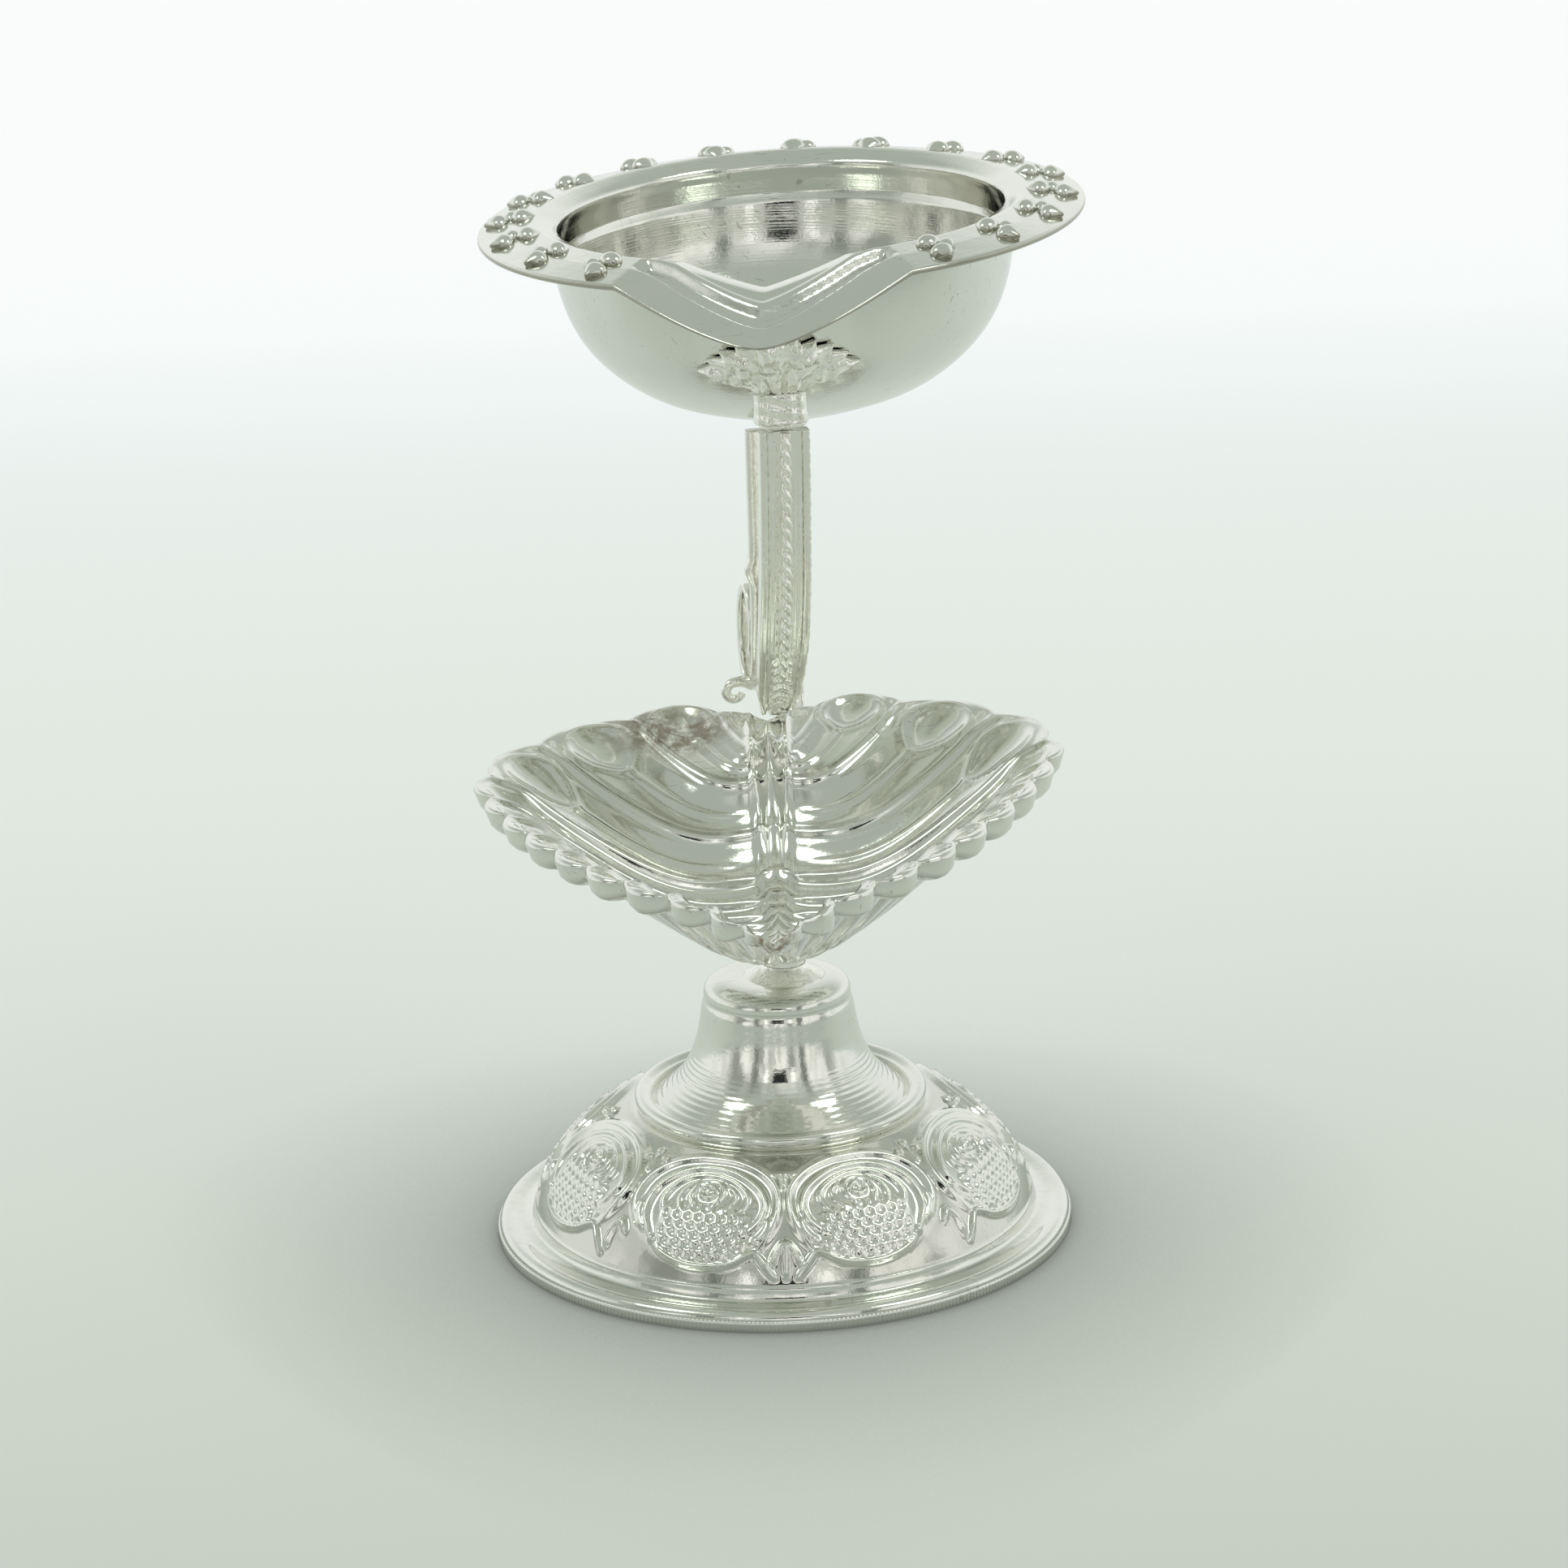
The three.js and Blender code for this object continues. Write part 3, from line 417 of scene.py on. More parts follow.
def swept(name, path, section, rows, columns, bend=None):
    """A closed bar along an upright path of (back, up) points.

    section(u, v) gives the bar's outline across and off the path, and the ends are capped."""
    caps = 1

    def place(u, v):
        row = np.rint(v * (rows + 2 * caps)).astype(int)
        along = np.clip((row - caps) / rows, 0, 1)
        spots, tangents = along_path(path, along)
        across, off = section(u, along)
        ending = (row < caps) | (row > rows + caps)
        across = np.where(ending, 0, across)
        off = np.where(ending, section(np.full(u.shape, 0.5), along)[1] / 2, off)
        back = spots[:, 0] - tangents[:, 1] * off
        up = spots[:, 1] + tangents[:, 0] * off
        points = np.stack([across, back, up], 1)
        return bend(points, along) if bend else points

    return formed(name, columns, rows + 2 * caps, place)


def settle(piece, matrix):
    """Puts a piece in its place and applies that place to its mesh."""
    deselect()
    piece.matrix_world = matrix
    piece.select_set(True)
    bpy.context.view_layer.objects.active = piece
    bpy.ops.object.transform_apply(location=True, rotation=True, scale=True)


def paint(piece, name, values):
    """Keeps a value for each point of the piece as an attribute."""
    layer = piece.data.attributes.new(name, "FLOAT", "POINT")
    layer.data.foreach_set("value", np.ascontiguousarray(values, dtype=np.float32))


def hand_over(piece, material, slot, *nodes):
    """Dresses a piece, fixes it to the lamp's body and lets it stand for its nodes."""
    piece.data.materials.clear()
    piece.data.materials.append(material)
    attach(piece, "root")
    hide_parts(*nodes)


def settings(context):
    """All the lamp's sizes and colours."""
    return context.scene.silver_lamp


# Materials

# Waves to the metre of each layer of unevenness.
TONE_WAVES = 90
DULL_WAVES = 420
SPECK_WAVES = 2300
CLOUD_WAVES = 140
HAIR_WAVES = (260, 5200, 900)
HAIR_TURN = (0.5, 0.3, 0.9)
HAIR_PATCH_WAVES = 70
STAIN_WAVES = 700
RIPPLE_WAVES = 230
GRAIN_WAVES = 1700
TURNING_WAVES = 2600
TURNING_CLIMB = 1.37
CAST_TONE_WAVES = 300
CAST_DULL_WAVES = 800
CAST_RIPPLE_WAVES = 700
CAST_GRAIN_WAVES = 1900
CAST_GRAIN = 0.018 * MM


class Nodes:
    """A short way to write a node tree."""

    def __init__(self, tree, coordinates="Object"):
        self.tree = tree
        self.coords = tree.nodes.new("ShaderNodeTexCoord").outputs[coordinates]

    def add(self, kind, inputs=(), **values):
        """Adds a node, sets its values and links or sets its inputs."""
        node = self.tree.nodes.new(kind)
        for key, value in values.items():
            setattr(node, key, value)
        for key, value in dict(inputs).items():
            if isinstance(value, bpy.types.NodeSocket):
                self.tree.links.new(value, node.inputs[key])
            else:
                node.inputs[key].default_value = value
        return node

    def mapped(self, offset=(0, 0, 0), turn=(0, 0, 0), scale=(1, 1, 1)):
        """Object coordinates, moved, turned and scaled."""
        values = {"Vector": self.coords, "Location": offset, "Rotation": turn, "Scale": scale}
        return self.add("ShaderNodeMapping", values).outputs["Vector"]

    def noise(self, scale, detail=3, rough=0.5, vector=None):
        """Noise over the object, in waves to the metre."""
        values = {"Vector": vector or self.coords, "Scale": scale, "Detail": detail, "Roughness": rough}
        return self.add("ShaderNodeTexNoise", values).outputs["Fac"]

    def lines(self, value, scale, detail=4):
        """Noise that changes along one value only."""
        values = {"W": value, "Scale": scale, "Detail": detail}
        return self.add("ShaderNodeTexNoise", values, noise_dimensions="1D").outputs["Fac"]

    def ranged(self, value, low, high, to_low=0, to_high=1):
        """Maps a value from one range to another and clamps it."""
        values = {"Value": value, "From Min": low, "From Max": high, "To Min": to_low, "To Max": to_high}
        return self.add("ShaderNodeMapRange", values).outputs["Result"]

    def math(self, kind, first, second=0.0):
        """One sum of the given kind."""
        return self.add("ShaderNodeMath", {0: first, 1: second}, operation=kind).outputs[0]

    def product(self, first, second):
        """One value times another."""
        return self.math("MULTIPLY", first, second)

    def total(self, first, second):
        """One value plus another."""
        return self.math("ADD", first, second)

    def mix(self, share_of_second, first, second):
        """A mix of two colours."""
        values = {"Factor": share_of_second, 6: first, 7: second}
        return self.add("ShaderNodeMix", values, data_type="RGBA").outputs[2]

    def attribute(self, name):
        """A value kept on the piece's points."""
        return self.add("ShaderNodeAttribute", attribute_name=name).outputs["Fac"]

    def bump(self, height, depth, strength=1.0, normal=None):
        """Bumps of a real depth in metres."""
        values = {"Height": height, "Distance": depth, "Strength": strength}
        if normal:
            values["Normal"] = normal
        return self.add("ShaderNodeBump", values).outputs["Normal"]

    def finish(self, base, rough, normal):
        """Links the finished colour, roughness and bumps to the metal shader."""
        shader = self.tree.nodes["Principled BSDF"]
        self.tree.links.new(base, shader.inputs["Base Color"])
        self.tree.links.new(rough, shader.inputs["Roughness"])
        self.tree.links.new(normal, shader.inputs["Normal"])
        shader.inputs["Metallic"].default_value = 1


def opaque(value):
    """A colour with its alpha."""
    return (*value, 1)


def new_material(name):
    """A material and its empty tree of nodes."""
    material = bpy.data.materials.new(name)
    material.use_nodes = True
    return material, Nodes(material.node_tree)


def speckled(nodes, base, finish):
    """Adds clouds of small dark specks and a few hairlines."""
    specks = nodes.ranged(nodes.noise(SPECK_WAVES, 2, 0.6), 0.67, 0.75)
    clouds = nodes.ranged(nodes.noise(CLOUD_WAVES, 3, 0.6), 0.5, 0.66)
    base = nodes.mix(nodes.product(nodes.product(specks, clouds), 0.85), base, opaque(finish.tarnish_and_shade))
    hairs = nodes.noise(1, 2, 0.6, nodes.mapped(turn=HAIR_TURN, scale=HAIR_WAVES))
    patches = nodes.ranged(nodes.noise(HAIR_PATCH_WAVES, 2), 0.5, 0.6, 0, 0.5)
    return nodes.mix(nodes.product(nodes.ranged(hairs, 0.64, 0.7), patches), base, opaque(finish.tarnish_and_shade))


def turning_lines(nodes, axis):
    """Lines that run round an upright axis, as the tool leaves them on a lathe."""
    spot = nodes.add("ShaderNodeSeparateXYZ", {0: nodes.mapped(offset=(-axis[0], -axis[1], 0))})
    x, y, z = spot.outputs
    square = nodes.total(nodes.math("POWER", x, 2), nodes.math("POWER", y, 2))
    radius = nodes.math("SQRT", square)
    return nodes.lines(nodes.total(radius, nodes.product(z, TURNING_CLIMB)), TURNING_WAVES)


def silver(name, finish, ripple, grain=1.0, axis=None, turning=0.01, painted_shade=None, stain=None):
    """Polished silver with ripples, grain, hairlines and specks, and painted shade in its hollows, read from
    an attribute.
    """
    material, nodes = new_material(name)
    tone = nodes.ranged(nodes.noise(TONE_WAVES, 2), 0.35, 0.75, 0, 0.5)
    base = speckled(nodes, nodes.mix(tone, opaque(finish.silver), opaque(finish.cast)), finish)
    dull = nodes.noise(DULL_WAVES, 4, 0.6)
    roughness = nodes.ranged(dull, 0.3, 0.75, finish.polish, finish.polish * 2.2)
    # Painted shade: an attribute on the piece darkens its colour towards the dark colour in its hollows and
    # under its edges.
    if painted_shade:
        base = nodes.mix(nodes.attribute(painted_shade), base, opaque(finish.tarnish_and_shade))
    if stain:
        blotches = nodes.ranged(nodes.noise(STAIN_WAVES, 4, 0.7), 0.38, 0.6)
        burnt = nodes.product(nodes.attribute(stain), blotches)
        base = nodes.mix(burnt, base, opaque(finish.stain))
        roughness = nodes.total(roughness, nodes.product(burnt, 0.35))
    normal = nodes.bump(nodes.noise(RIPPLE_WAVES, 2), ripple)
    normal = nodes.bump(nodes.noise(GRAIN_WAVES, 3, 0.65), finish.grain * grain, 1, normal)
    if axis is not None:
        normal = nodes.bump(turning_lines(nodes, axis), turning * MM, 1, normal)
    nodes.finish(base, roughness, normal)
    return material


def cast_silver(name, finish, rough, ripple):
    """Cast silver, a little yellower and rougher, with a sparkling grain."""
    material, nodes = new_material(name)
    grain = nodes.noise(CAST_GRAIN_WAVES, 3, 0.65)
    worn = nodes.ranged(nodes.noise(CAST_TONE_WAVES, 3), 0.35, 0.7)
    base = nodes.mix(worn, opaque(finish.cast), opaque(finish.bright))
    base = nodes.mix(nodes.ranged(grain, 0.64, 0.74, 0, 0.6), base, opaque(finish.tarnish_and_shade))
    normal = nodes.bump(nodes.noise(CAST_RIPPLE_WAVES, 3, 0.6), ripple)
    normal = nodes.bump(grain, CAST_GRAIN, 1, normal)
    roughness = nodes.ranged(nodes.noise(CAST_DULL_WAVES, 3), 0.3, 0.75, rough, rough * 2)
    nodes.finish(base, roughness, normal)
    return material


# Foot

# The dish stands a little inside the milled edge and above its underside.
EDGE_INSET = 0.2 * MM
EDGE_LIFT = 0.25 * MM

# Strokes of the medallion, in shares: across from its middle to its edge (away from the lamp's
# front is positive) and up the skirt. Then the half width and the height, as shares of the relief.
OUTER_OUTLINE_SHARES = [(0.84, 0.33), (0.96, 0.44), (0.97, 0.58), (0.86, 0.73), (0.62, 0.85), (0.3, 0.915),
                        (0, 0.93), (-0.35, 0.915), (-0.7, 0.84), (-0.93, 0.72), (-1, 0.6), (-0.98, 0.45),
                        (-0.9, 0.33), (-0.8, 0.24)]
INNER_OUTLINE_SHARES = [(0.62, 0.27), (0.74, 0.38), (0.76, 0.5), (0.68, 0.64), (0.5, 0.75), (0.26, 0.82),
                        (0, 0.84), (-0.28, 0.825), (-0.55, 0.76), (-0.76, 0.66), (-0.84, 0.55), (-0.8, 0.45),
                        (-0.66, 0.36)]
PETAL_SHARES = [(0.5, 0.44), (0.56, 0.54), (0.48, 0.65), (0.32, 0.735), (0.1, 0.775), (-0.15, 0.775),
                (-0.4, 0.725), (-0.58, 0.63), (-0.55, 0.53), (-0.38, 0.44)]
OUTER_LEAF_SHARES = [(0.24, 0.46), (0.33, 0.56), (0.28, 0.65), (0.15, 0.715)]
FRONT_LEAF_SHARES = [(-0.18, 0.48), (-0.38, 0.56), (-0.42, 0.64), (-0.3, 0.705)]
EYE_CUP_SHARES = [(0.08, 0.5), (0.17, 0.6), (0.12, 0.68), (-0.02, 0.72), (-0.17, 0.715), (-0.25, 0.66),
                  (-0.2, 0.58), (-0.1, 0.52)]
EYE_SHARES = [(0.08, 0.645), (0.02, 0.685), (-0.1, 0.685), (-0.16, 0.645), (-0.1, 0.605), (0.02, 0.605),
              (0.08, 0.645)]
SMILE_SHARES = [(0.56, 0.235), (0.45, 0.175), (0.25, 0.125), (0, 0.1), (-0.25, 0.105), (-0.5, 0.14),
                (-0.66, 0.195), (-0.76, 0.215), (-0.84, 0.175), (-0.95, 0.1), (-1.03, 0.05)]
CRESCENT_SHARES = [(0.85, 0.5), (0.865, 0.42), (0.8, 0.35), (0.72, 0.29)]
BUD_SHARES = [(-0.9, 0.46), (-0.88, 0.38), (-0.8, 0.31), (-0.72, 0.28)]
MEDALLION_STROKES = [
    (OUTER_OUTLINE_SHARES, 0.85, 1.0), (INNER_OUTLINE_SHARES, 0.55, 0.8), (PETAL_SHARES, 0.42, 0.6),
    (OUTER_LEAF_SHARES, 0.4, 0.6), (FRONT_LEAF_SHARES, 0.4, 0.6), (EYE_CUP_SHARES, 0.42, 0.75),
    (EYE_SHARES, 0.34, 0.8), (SMILE_SHARES, 0.5, 0.95), (CRESCENT_SHARES, 0.7, 0.7),
    (BUD_SHARES, 0.75, 0.7),
]
MEDALLION_BALLS = [(0.56, 0.235, 0.75, 1.0), (-0.04, 0.645, 0.45, 0.5)]
# The same for the gaps between medallions, across from the gap's middle.
FRONT_GAP_STROKES = [
    ([(-0.22, 0.83), (0, 0.82), (0.22, 0.83)], 0.4, 0.7), ([(0, 0.82), (0.01, 0.7)], 0.55, 0.8),
    ([(0, 0.3), (-0.1, 0.24), (-0.2, 0.14)], 0.5, 0.8), ([(0, 0.3), (0.1, 0.24), (0.2, 0.14)], 0.5, 0.8),
    ([(0, 0.3), (0, 0.18), (0, 0.05)], 0.5, 0.9),
]
SIDE_GAP_STROKES = [
    ([(0, 0.86), (0.02, 0.72)], 0.5, 0.6),
    ([(-0.14, 0.24), (-0.04, 0.31), (0.06, 0.24), (0.1, 0.1)], 0.6, 0.85),
]
SIDE_GAP_BALLS = [(-0.13, 0.85, 0.7, 0.9), (0.03, 0.9, 0.7, 0.9), (0.14, 0.83, 0.7, 0.9)]


def stroke_rise(across, up, strokes, balls, half, slope, relief):
    """The height of a set of strokes and balls, with lengths from shares."""
    rise = np.zeros(across.shape)
    for shares, width, height in strokes:
        path = smooth_path([(x * half, y * slope) for x, y in shares], 4 * len(shares))
        gap, where = distance_to(across, up, path)
        taper = np.minimum(1, 0.45 + 5 * np.minimum(where, 1 - where))
        bar = height * relief * np.exp(-(gap / (width * relief)) ** 2 * 1.4) * taper
        rise = np.maximum(rise, bar)
    for x, y, size, height in balls:
        gap = np.hypot(across - x * half, up - y * slope) / (size * relief)
        rise = np.maximum(rise, height * relief * np.sqrt(np.maximum(0, 1 - gap**2)))
    return rise


def honeycomb(across, up, half, slope, pitch):
    """How high a net of cells stands in the lower half of the medallion, as a share of the relief."""
    x, y = across + 0.6 * MM, up - 0.1 * slope
    rows = 2 * y / (pitch * sqrt(3))
    waves = (np.cos(TURN * rows) + np.cos(TURN * (x / pitch + rows / 2))
             + np.cos(TURN * (x / pitch - rows / 2))) / 3
    side = ease(0.62, 0.54, np.abs(across / half + 0.06))
    top = ease(0.5, 0.45, up / slope - 0.06 * np.sqrt(np.maximum(0, 1 - (across / half / 0.6) ** 2)))
    bottom = ease(0.1, 0.15, up / slope - 0.16 * (across / half + 0.06) ** 2)
    cells = ease(-0.35, 0.3, -waves)
    return side * top * bottom * (0.22 + 0.3 * cells)


def skirt_relief(around, up, sizes, slope):
    """The embossing over the skirt at an angle from the front and a length up the slope."""
    pitch = TURN / sizes.medallions
    turn_share = around / pitch
    middle_share = np.floor(turn_share) + 0.5
    side = np.sign(np.sin(middle_share * pitch))
    radius = sizes.radius - sizes.edge_width / 2 - sizes.flange_width
    local = radius + (sizes.skirt_top - radius) * up / slope
    halfway = (radius + sizes.skirt_top) / 2
    half = 0.46 * pitch * halfway
    across = (turn_share - middle_share) * pitch * (0.35 * local + 0.65 * halfway) * side
    relief = sizes.relief
    rise = stroke_rise(across, up, MEDALLION_STROKES, MEDALLION_BALLS, half, slope, relief)
    rise = np.maximum(rise, relief * honeycomb(across, up, half, slope, sizes.cell_pitch))
    inside = ease(1.05, 0.8, np.hypot(across / half, (up / slope - 0.52) / 0.44))
    rise = rise + 0.3 * relief * inside
    nearest = np.rint(turn_share)
    gap_across = (turn_share - nearest) * pitch * local
    front = np.abs(np.mod(nearest, sizes.medallions / 2)) < 0.5
    gap_front = stroke_rise(gap_across, up, FRONT_GAP_STROKES, [], half, slope, relief)
    gap_across = gap_across * np.sign(np.sin(nearest * pitch) + 0.01)
    gap_side = stroke_rise(gap_across, up, SIDE_GAP_STROKES, SIDE_GAP_BALLS, half, slope, relief)
    rise = np.maximum(rise, np.where(front, gap_front, gap_side))
    return rise * ease(0, 0.04, up / slope) * ease(1, 0.96, up / slope)


def foot_profile(sizes, rows):
    """The foot's outline, the chord of its skirt and the number of its first skirt point."""
    inner = sizes.radius - sizes.edge_width
    edge_middle = sizes.radius - sizes.edge_width / 2
    flange = edge_middle - sizes.flange_width
    level = sizes.edge_height + sizes.roll_rise
    base = np.array([flange, level + sizes.step_rise])
    top = np.array([sizes.skirt_top, sizes.height])
    chord = top - base
    slope = hypot(*chord)
    outwards = np.array([chord[1], -chord[0]]) / slope

    def skirt(part, inwards=0.0):
        return base + chord * part + outwards * (4 * sizes.skirt_bulge * part * (1 - part) - inwards)

    roll = [(edge_middle + sizes.edge_width / 2 * cos(turn) - EDGE_INSET,
             sizes.edge_height + sizes.roll_rise * sin(turn)) for turn in np.linspace(0, pi / 2, 7)]
    dish = [(inner + (flange - inner) * part + 0.3 * MM * part,
             level - 4 * sizes.flange_dish * part * (1 - part)) for part in np.linspace(0.1, 0.94, 8)]
    step = [(flange + 0.45 * MM, level + 0.35 * MM), (flange + 0.2 * MM, level + 0.7 * MM),
            (flange + 0.3 * MM, level + 1.0 * MM), (flange + 0.12 * MM, level + 1.25 * MM)]
    points = [(inner, EDGE_LIFT), (sizes.radius - EDGE_INSET, EDGE_LIFT), *roll, *dish, *step]
    points += [tuple(skirt(part)) for part in np.linspace(0, 1, rows)]
    points += [(sizes.skirt_top - 0.6 * MM, sizes.height + 0.05 * MM),
               (sizes.collar, sizes.height - 0.05 * MM), (sizes.collar, sizes.height - sizes.sheet)]
    points += [tuple(skirt(1 - part, sizes.sheet)) for part in np.linspace(0, 1, 8)]
    points += [(flange - sizes.sheet / 4, level - sizes.sheet), (inner, level - sizes.sheet), points[0]]
    return points, base, chord, outwards


class LAMP_OT_foot(Operator):
    """Models the pressed foot with its embossed skirt and milled edge"""

    bl_idname = "lamp.foot"
    bl_label = "Foot"

    def execute(self, context):
        """Spins the foot's outline, raises its embossing and mills its edge."""
        sizes = settings(context).foot
        finish = settings(context).finish
        points, base, chord, outwards = foot_profile(sizes, 80)
        foot = turned("foot_dish", points, 840)
        at = places(foot)
        radius = np.hypot(at[:, 0], at[:, 1])
        around = np.mod(np.arctan2(at[:, 0], -at[:, 1]), TURN)
        slope = hypot(*chord)
        offset = np.stack([radius, at[:, 2]], 1) - base
        part = offset @ chord / slope**2
        off = offset @ outwards - 4 * sizes.skirt_bulge * part * (1 - part)
        outer = (np.abs(off) < 0.2 * sizes.sheet) & (part > -0.001) & (part < 1.001)
        rise = np.zeros(len(at))
        rise[outer] = skirt_relief(around[outer], part[outer] * slope, sizes, slope)
        grow = 1 + rise * outwards[0] / radius
        at[:, :2] *= grow[:, None]
        at[:, 2] += rise * outwards[1]
        move_points(foot, at)
        # Painted shade in the hollows between the embossed outlines, at a quarter of its full strength.
        hollow_shade = np.where(outer, ease(0.35 * sizes.relief, 0, rise), 0)
        paint(foot, "painted_shade", hollow_shade * 0.25)
        settle(foot, ON_AXIS)
        pressed = silver("pressed silver of the foot", finish, 0.06 * MM, 1.3, painted_shade="painted_shade")
        hand_over(foot, pressed, "pressed_silver", "foot")
        self.mill_edge(sizes, pressed)
        return {"FINISHED"}

    def mill_edge(self, sizes, material):
        """The reeded band round the foot's edge."""
        inner = sizes.radius - 0.6 * sizes.edge_width
        ledge = 0.12 * MM
        points = [(inner, 0), (sizes.radius - ledge, 0), (sizes.radius, ledge)]
        points += [(sizes.radius, sizes.edge_height * part) for part in (0.35, 0.65)]
        points += [(sizes.radius, sizes.edge_height - ledge), (sizes.radius - ledge, sizes.edge_height),
                   (inner, sizes.edge_height), (inner, 0)]
        edge = turned("foot_milled_edge", points, 4 * sizes.reeds)
        at = places(edge)
        radius = np.hypot(at[:, 0], at[:, 1])
        around = np.arctan2(at[:, 0], -at[:, 1])
        wobble = 0.5 + 0.5 * np.sin(17 * around) * np.sin(5 * around + 1)
        depth = sizes.reed_depth * (0.5 + 0.5 * np.cos(sizes.reeds * around)) * (0.6 + 0.4 * wobble)
        at[:, :2] *= (1 - np.where(radius > inner + ledge, depth, 0) / radius)[:, None]
        move_points(edge, at)
        settle(edge, ON_AXIS)
        hand_over(edge, material, "pressed_silver", "foot")


# Bell, ring and neck

# The bell's side: share of its height, and share of the way from its shoulder out to its mouth.
BELL_SIDE_SHARES = [(0, 1), (0.037, 1), (0.075, 0.86), (0.125, 0.72), (0.243, 0.45), (0.37, 0.28),
                    (0.5, 0.17), (0.62, 0.105), (0.735, 0.06), (0.81, 0.03), (0.849, 0)]
# The dome over it: share of the height, and share of the shoulder's radius.
BELL_DOME_SHARES = [(0.88, 1.005), (0.91, 1), (0.937, 0.98), (0.96, 0.94), (0.985, 0.84), (1, 0.68)]


class LAMP_OT_bell(Operator):
    """Spins the bell, its ring and the soldered neck"""

    bl_idname = "lamp.bell"
    bl_label = "Bell and neck"

    def execute(self, context):
        """Makes the bell, the ring round its mouth and the neck on its dome."""
        sizes = settings(context).bell
        finish = settings(context).finish
        axis = (FOOT_X, FOOT_Y)
        spun = silver("spun silver of the bell", finish, 0.05 * MM, 1.2, axis=axis, turning=0.003)
        cast = cast_silver("cast silver of the neck", finish, 0.16, 0.12 * MM)
        solder = cast_silver("solder of the neck", finish, 0.2, 0.2 * MM)
        self.spin_bell(sizes, spun)
        self.spin_ring(sizes, spun)
        self.spin_neck(sizes, cast, solder)
        return {"FINISHED"}

    def spin_bell(self, sizes, material):
        """The bell, with fine turning lines on its flare. Its mouth is seated on the skirt."""
        low, high = BELL_LOW[2] - sizes.gap, BELL_HIGH[2]
        tall = high - low
        spread = sizes.mouth + sizes.gap - sizes.shoulder
        outline = [(sizes.shoulder + spread * out, low + tall * up) for up, out in BELL_SIDE_SHARES]
        outline += [(sizes.shoulder * out, low + tall * up) for up, out in BELL_DOME_SHARES]
        outer = smooth_path([*outline, (sizes.hole, high)], 210)
        inside = [(radius - sizes.sheet, height - 0.6 * sizes.sheet * ease(0.8, 0.95, (height - low) / tall))
                  for radius, height in outline[2:]]
        inner = smooth_path(inside, 24)[::-1]
        points = [tuple(point) for point in outer]
        points += [(sizes.hole, high - sizes.sheet)]
        points += [tuple(point) for point in inner]
        points += [(sizes.mouth - sizes.sheet, low), points[0]]
        bell = turned("bell_body", points, 256)
        at = places(bell)
        up = (at[:, 2] - low) / tall
        radius = np.hypot(at[:, 0], at[:, 1])
        to_side = 0.08 + 0.92 * ease(0.35, 0.8, np.abs(at[:, 0]) / radius)
        lines = np.sin(TURN * up / 0.036) * sizes.groove * ease(0.03, 0.08, up) * ease(0.46, 0.34, up)
        at[:, :2] *= (1 + lines * to_side / radius)[:, None]
        move_points(bell, at)
        settle(bell, ON_AXIS)
        hand_over(bell, material, "spun_silver", "bell")

    def spin_ring(self, sizes, material):
        """The ring of wire, dressed broad and a little uneven."""
        radius = (RING_HIGH[0] - RING_LOW[0]) / 2 - sizes.wire
        height = (RING_HIGH[2] + RING_LOW[2]) / 2
        broad = sizes.wire + 0.1 * MM
        seat = height - FOOT_HIGH[2] + 0.05 * MM
        points = [(radius + broad * cos(turn) * (1.3 if cos(turn) < 0 else 0.75),
                   height + (sizes.wire if sin(turn) > 0 else seat) * sin(turn))
                  for turn in np.linspace(0, TURN, 25)]
        ring = turned("bell_wire", points, 192)
        at = places(ring)
        around = np.arctan2(at[:, 0], -at[:, 1])
        dressed = 0.93 + 0.05 * np.sin(3 * around) * np.sin(7 * around)
        at[:, 2] = height + (at[:, 2] - height) * np.where(at[:, 2] > height, dressed, 1)
        move_points(ring, at)
        settle(ring, ON_AXIS)
        hand_over(ring, material, "cast_silver", "bell_ring")

    def spin_neck(self, sizes, cast, solder):
        """The neck and the two uneven fillets of solder round its ends."""
        low, high = NECK_LOW[2] - sizes.gap, NECK_HIGH[2] + sizes.gap
        tall = high - low
        wide = sizes.neck + sizes.neck_flare
        outline = smooth_path([(wide, low), (sizes.neck, low + 0.2 * tall),
                               (sizes.neck * 0.98, low + 0.45 * tall), (sizes.neck, low + 0.65 * tall),
                               (wide, high)], 40)
        at_neck = Matrix.Translation((*middle("neck_post"), 0))
        post = turned("neck_shaft", [(0, low), *map(tuple, outline), (0, high)], 64)
        self.ruffle(post, 0.12 * MM, 1.0 * MM, 3)
        settle(post, at_neck)
        hand_over(post, cast, "cast_silver", "neck_post")
        inner = wide - sizes.gap
        for name, node, height, way in (("solder_low", "neck_solder_lower", low, 1),
                                        ("solder_high", "neck_solder_upper", high, -1)):
            curve = [(inner + (sizes.solder_reach + sizes.gap) * (1 - part) ** 1.6,
                      height + way * (sizes.solder_height + sizes.gap) * part)
                     for part in np.linspace(0, 1, 18)]
            fillet = turned(name, [(inner, height), *curve, (inner, height)], 96)
            self.ruffle(fillet, 0.1 * MM, 0.9 * MM, 5 + way)
            settle(fillet, at_neck)
            hand_over(fillet, solder, "solder", node)

    def ruffle(self, piece, depth, size, seed):
        """Makes a turned piece a little uneven, inwards only."""
        at = places(piece)
        radius = np.maximum(np.hypot(at[:, 0], at[:, 1]), WELD)
        dent = depth * (0.5 + 0.5 * wander(at, size, seed))
        at[:, :2] *= np.where(radius > 2 * MM, 1 - dent / radius, 1)[:, None]
        move_points(piece, at)


# Leaf dish

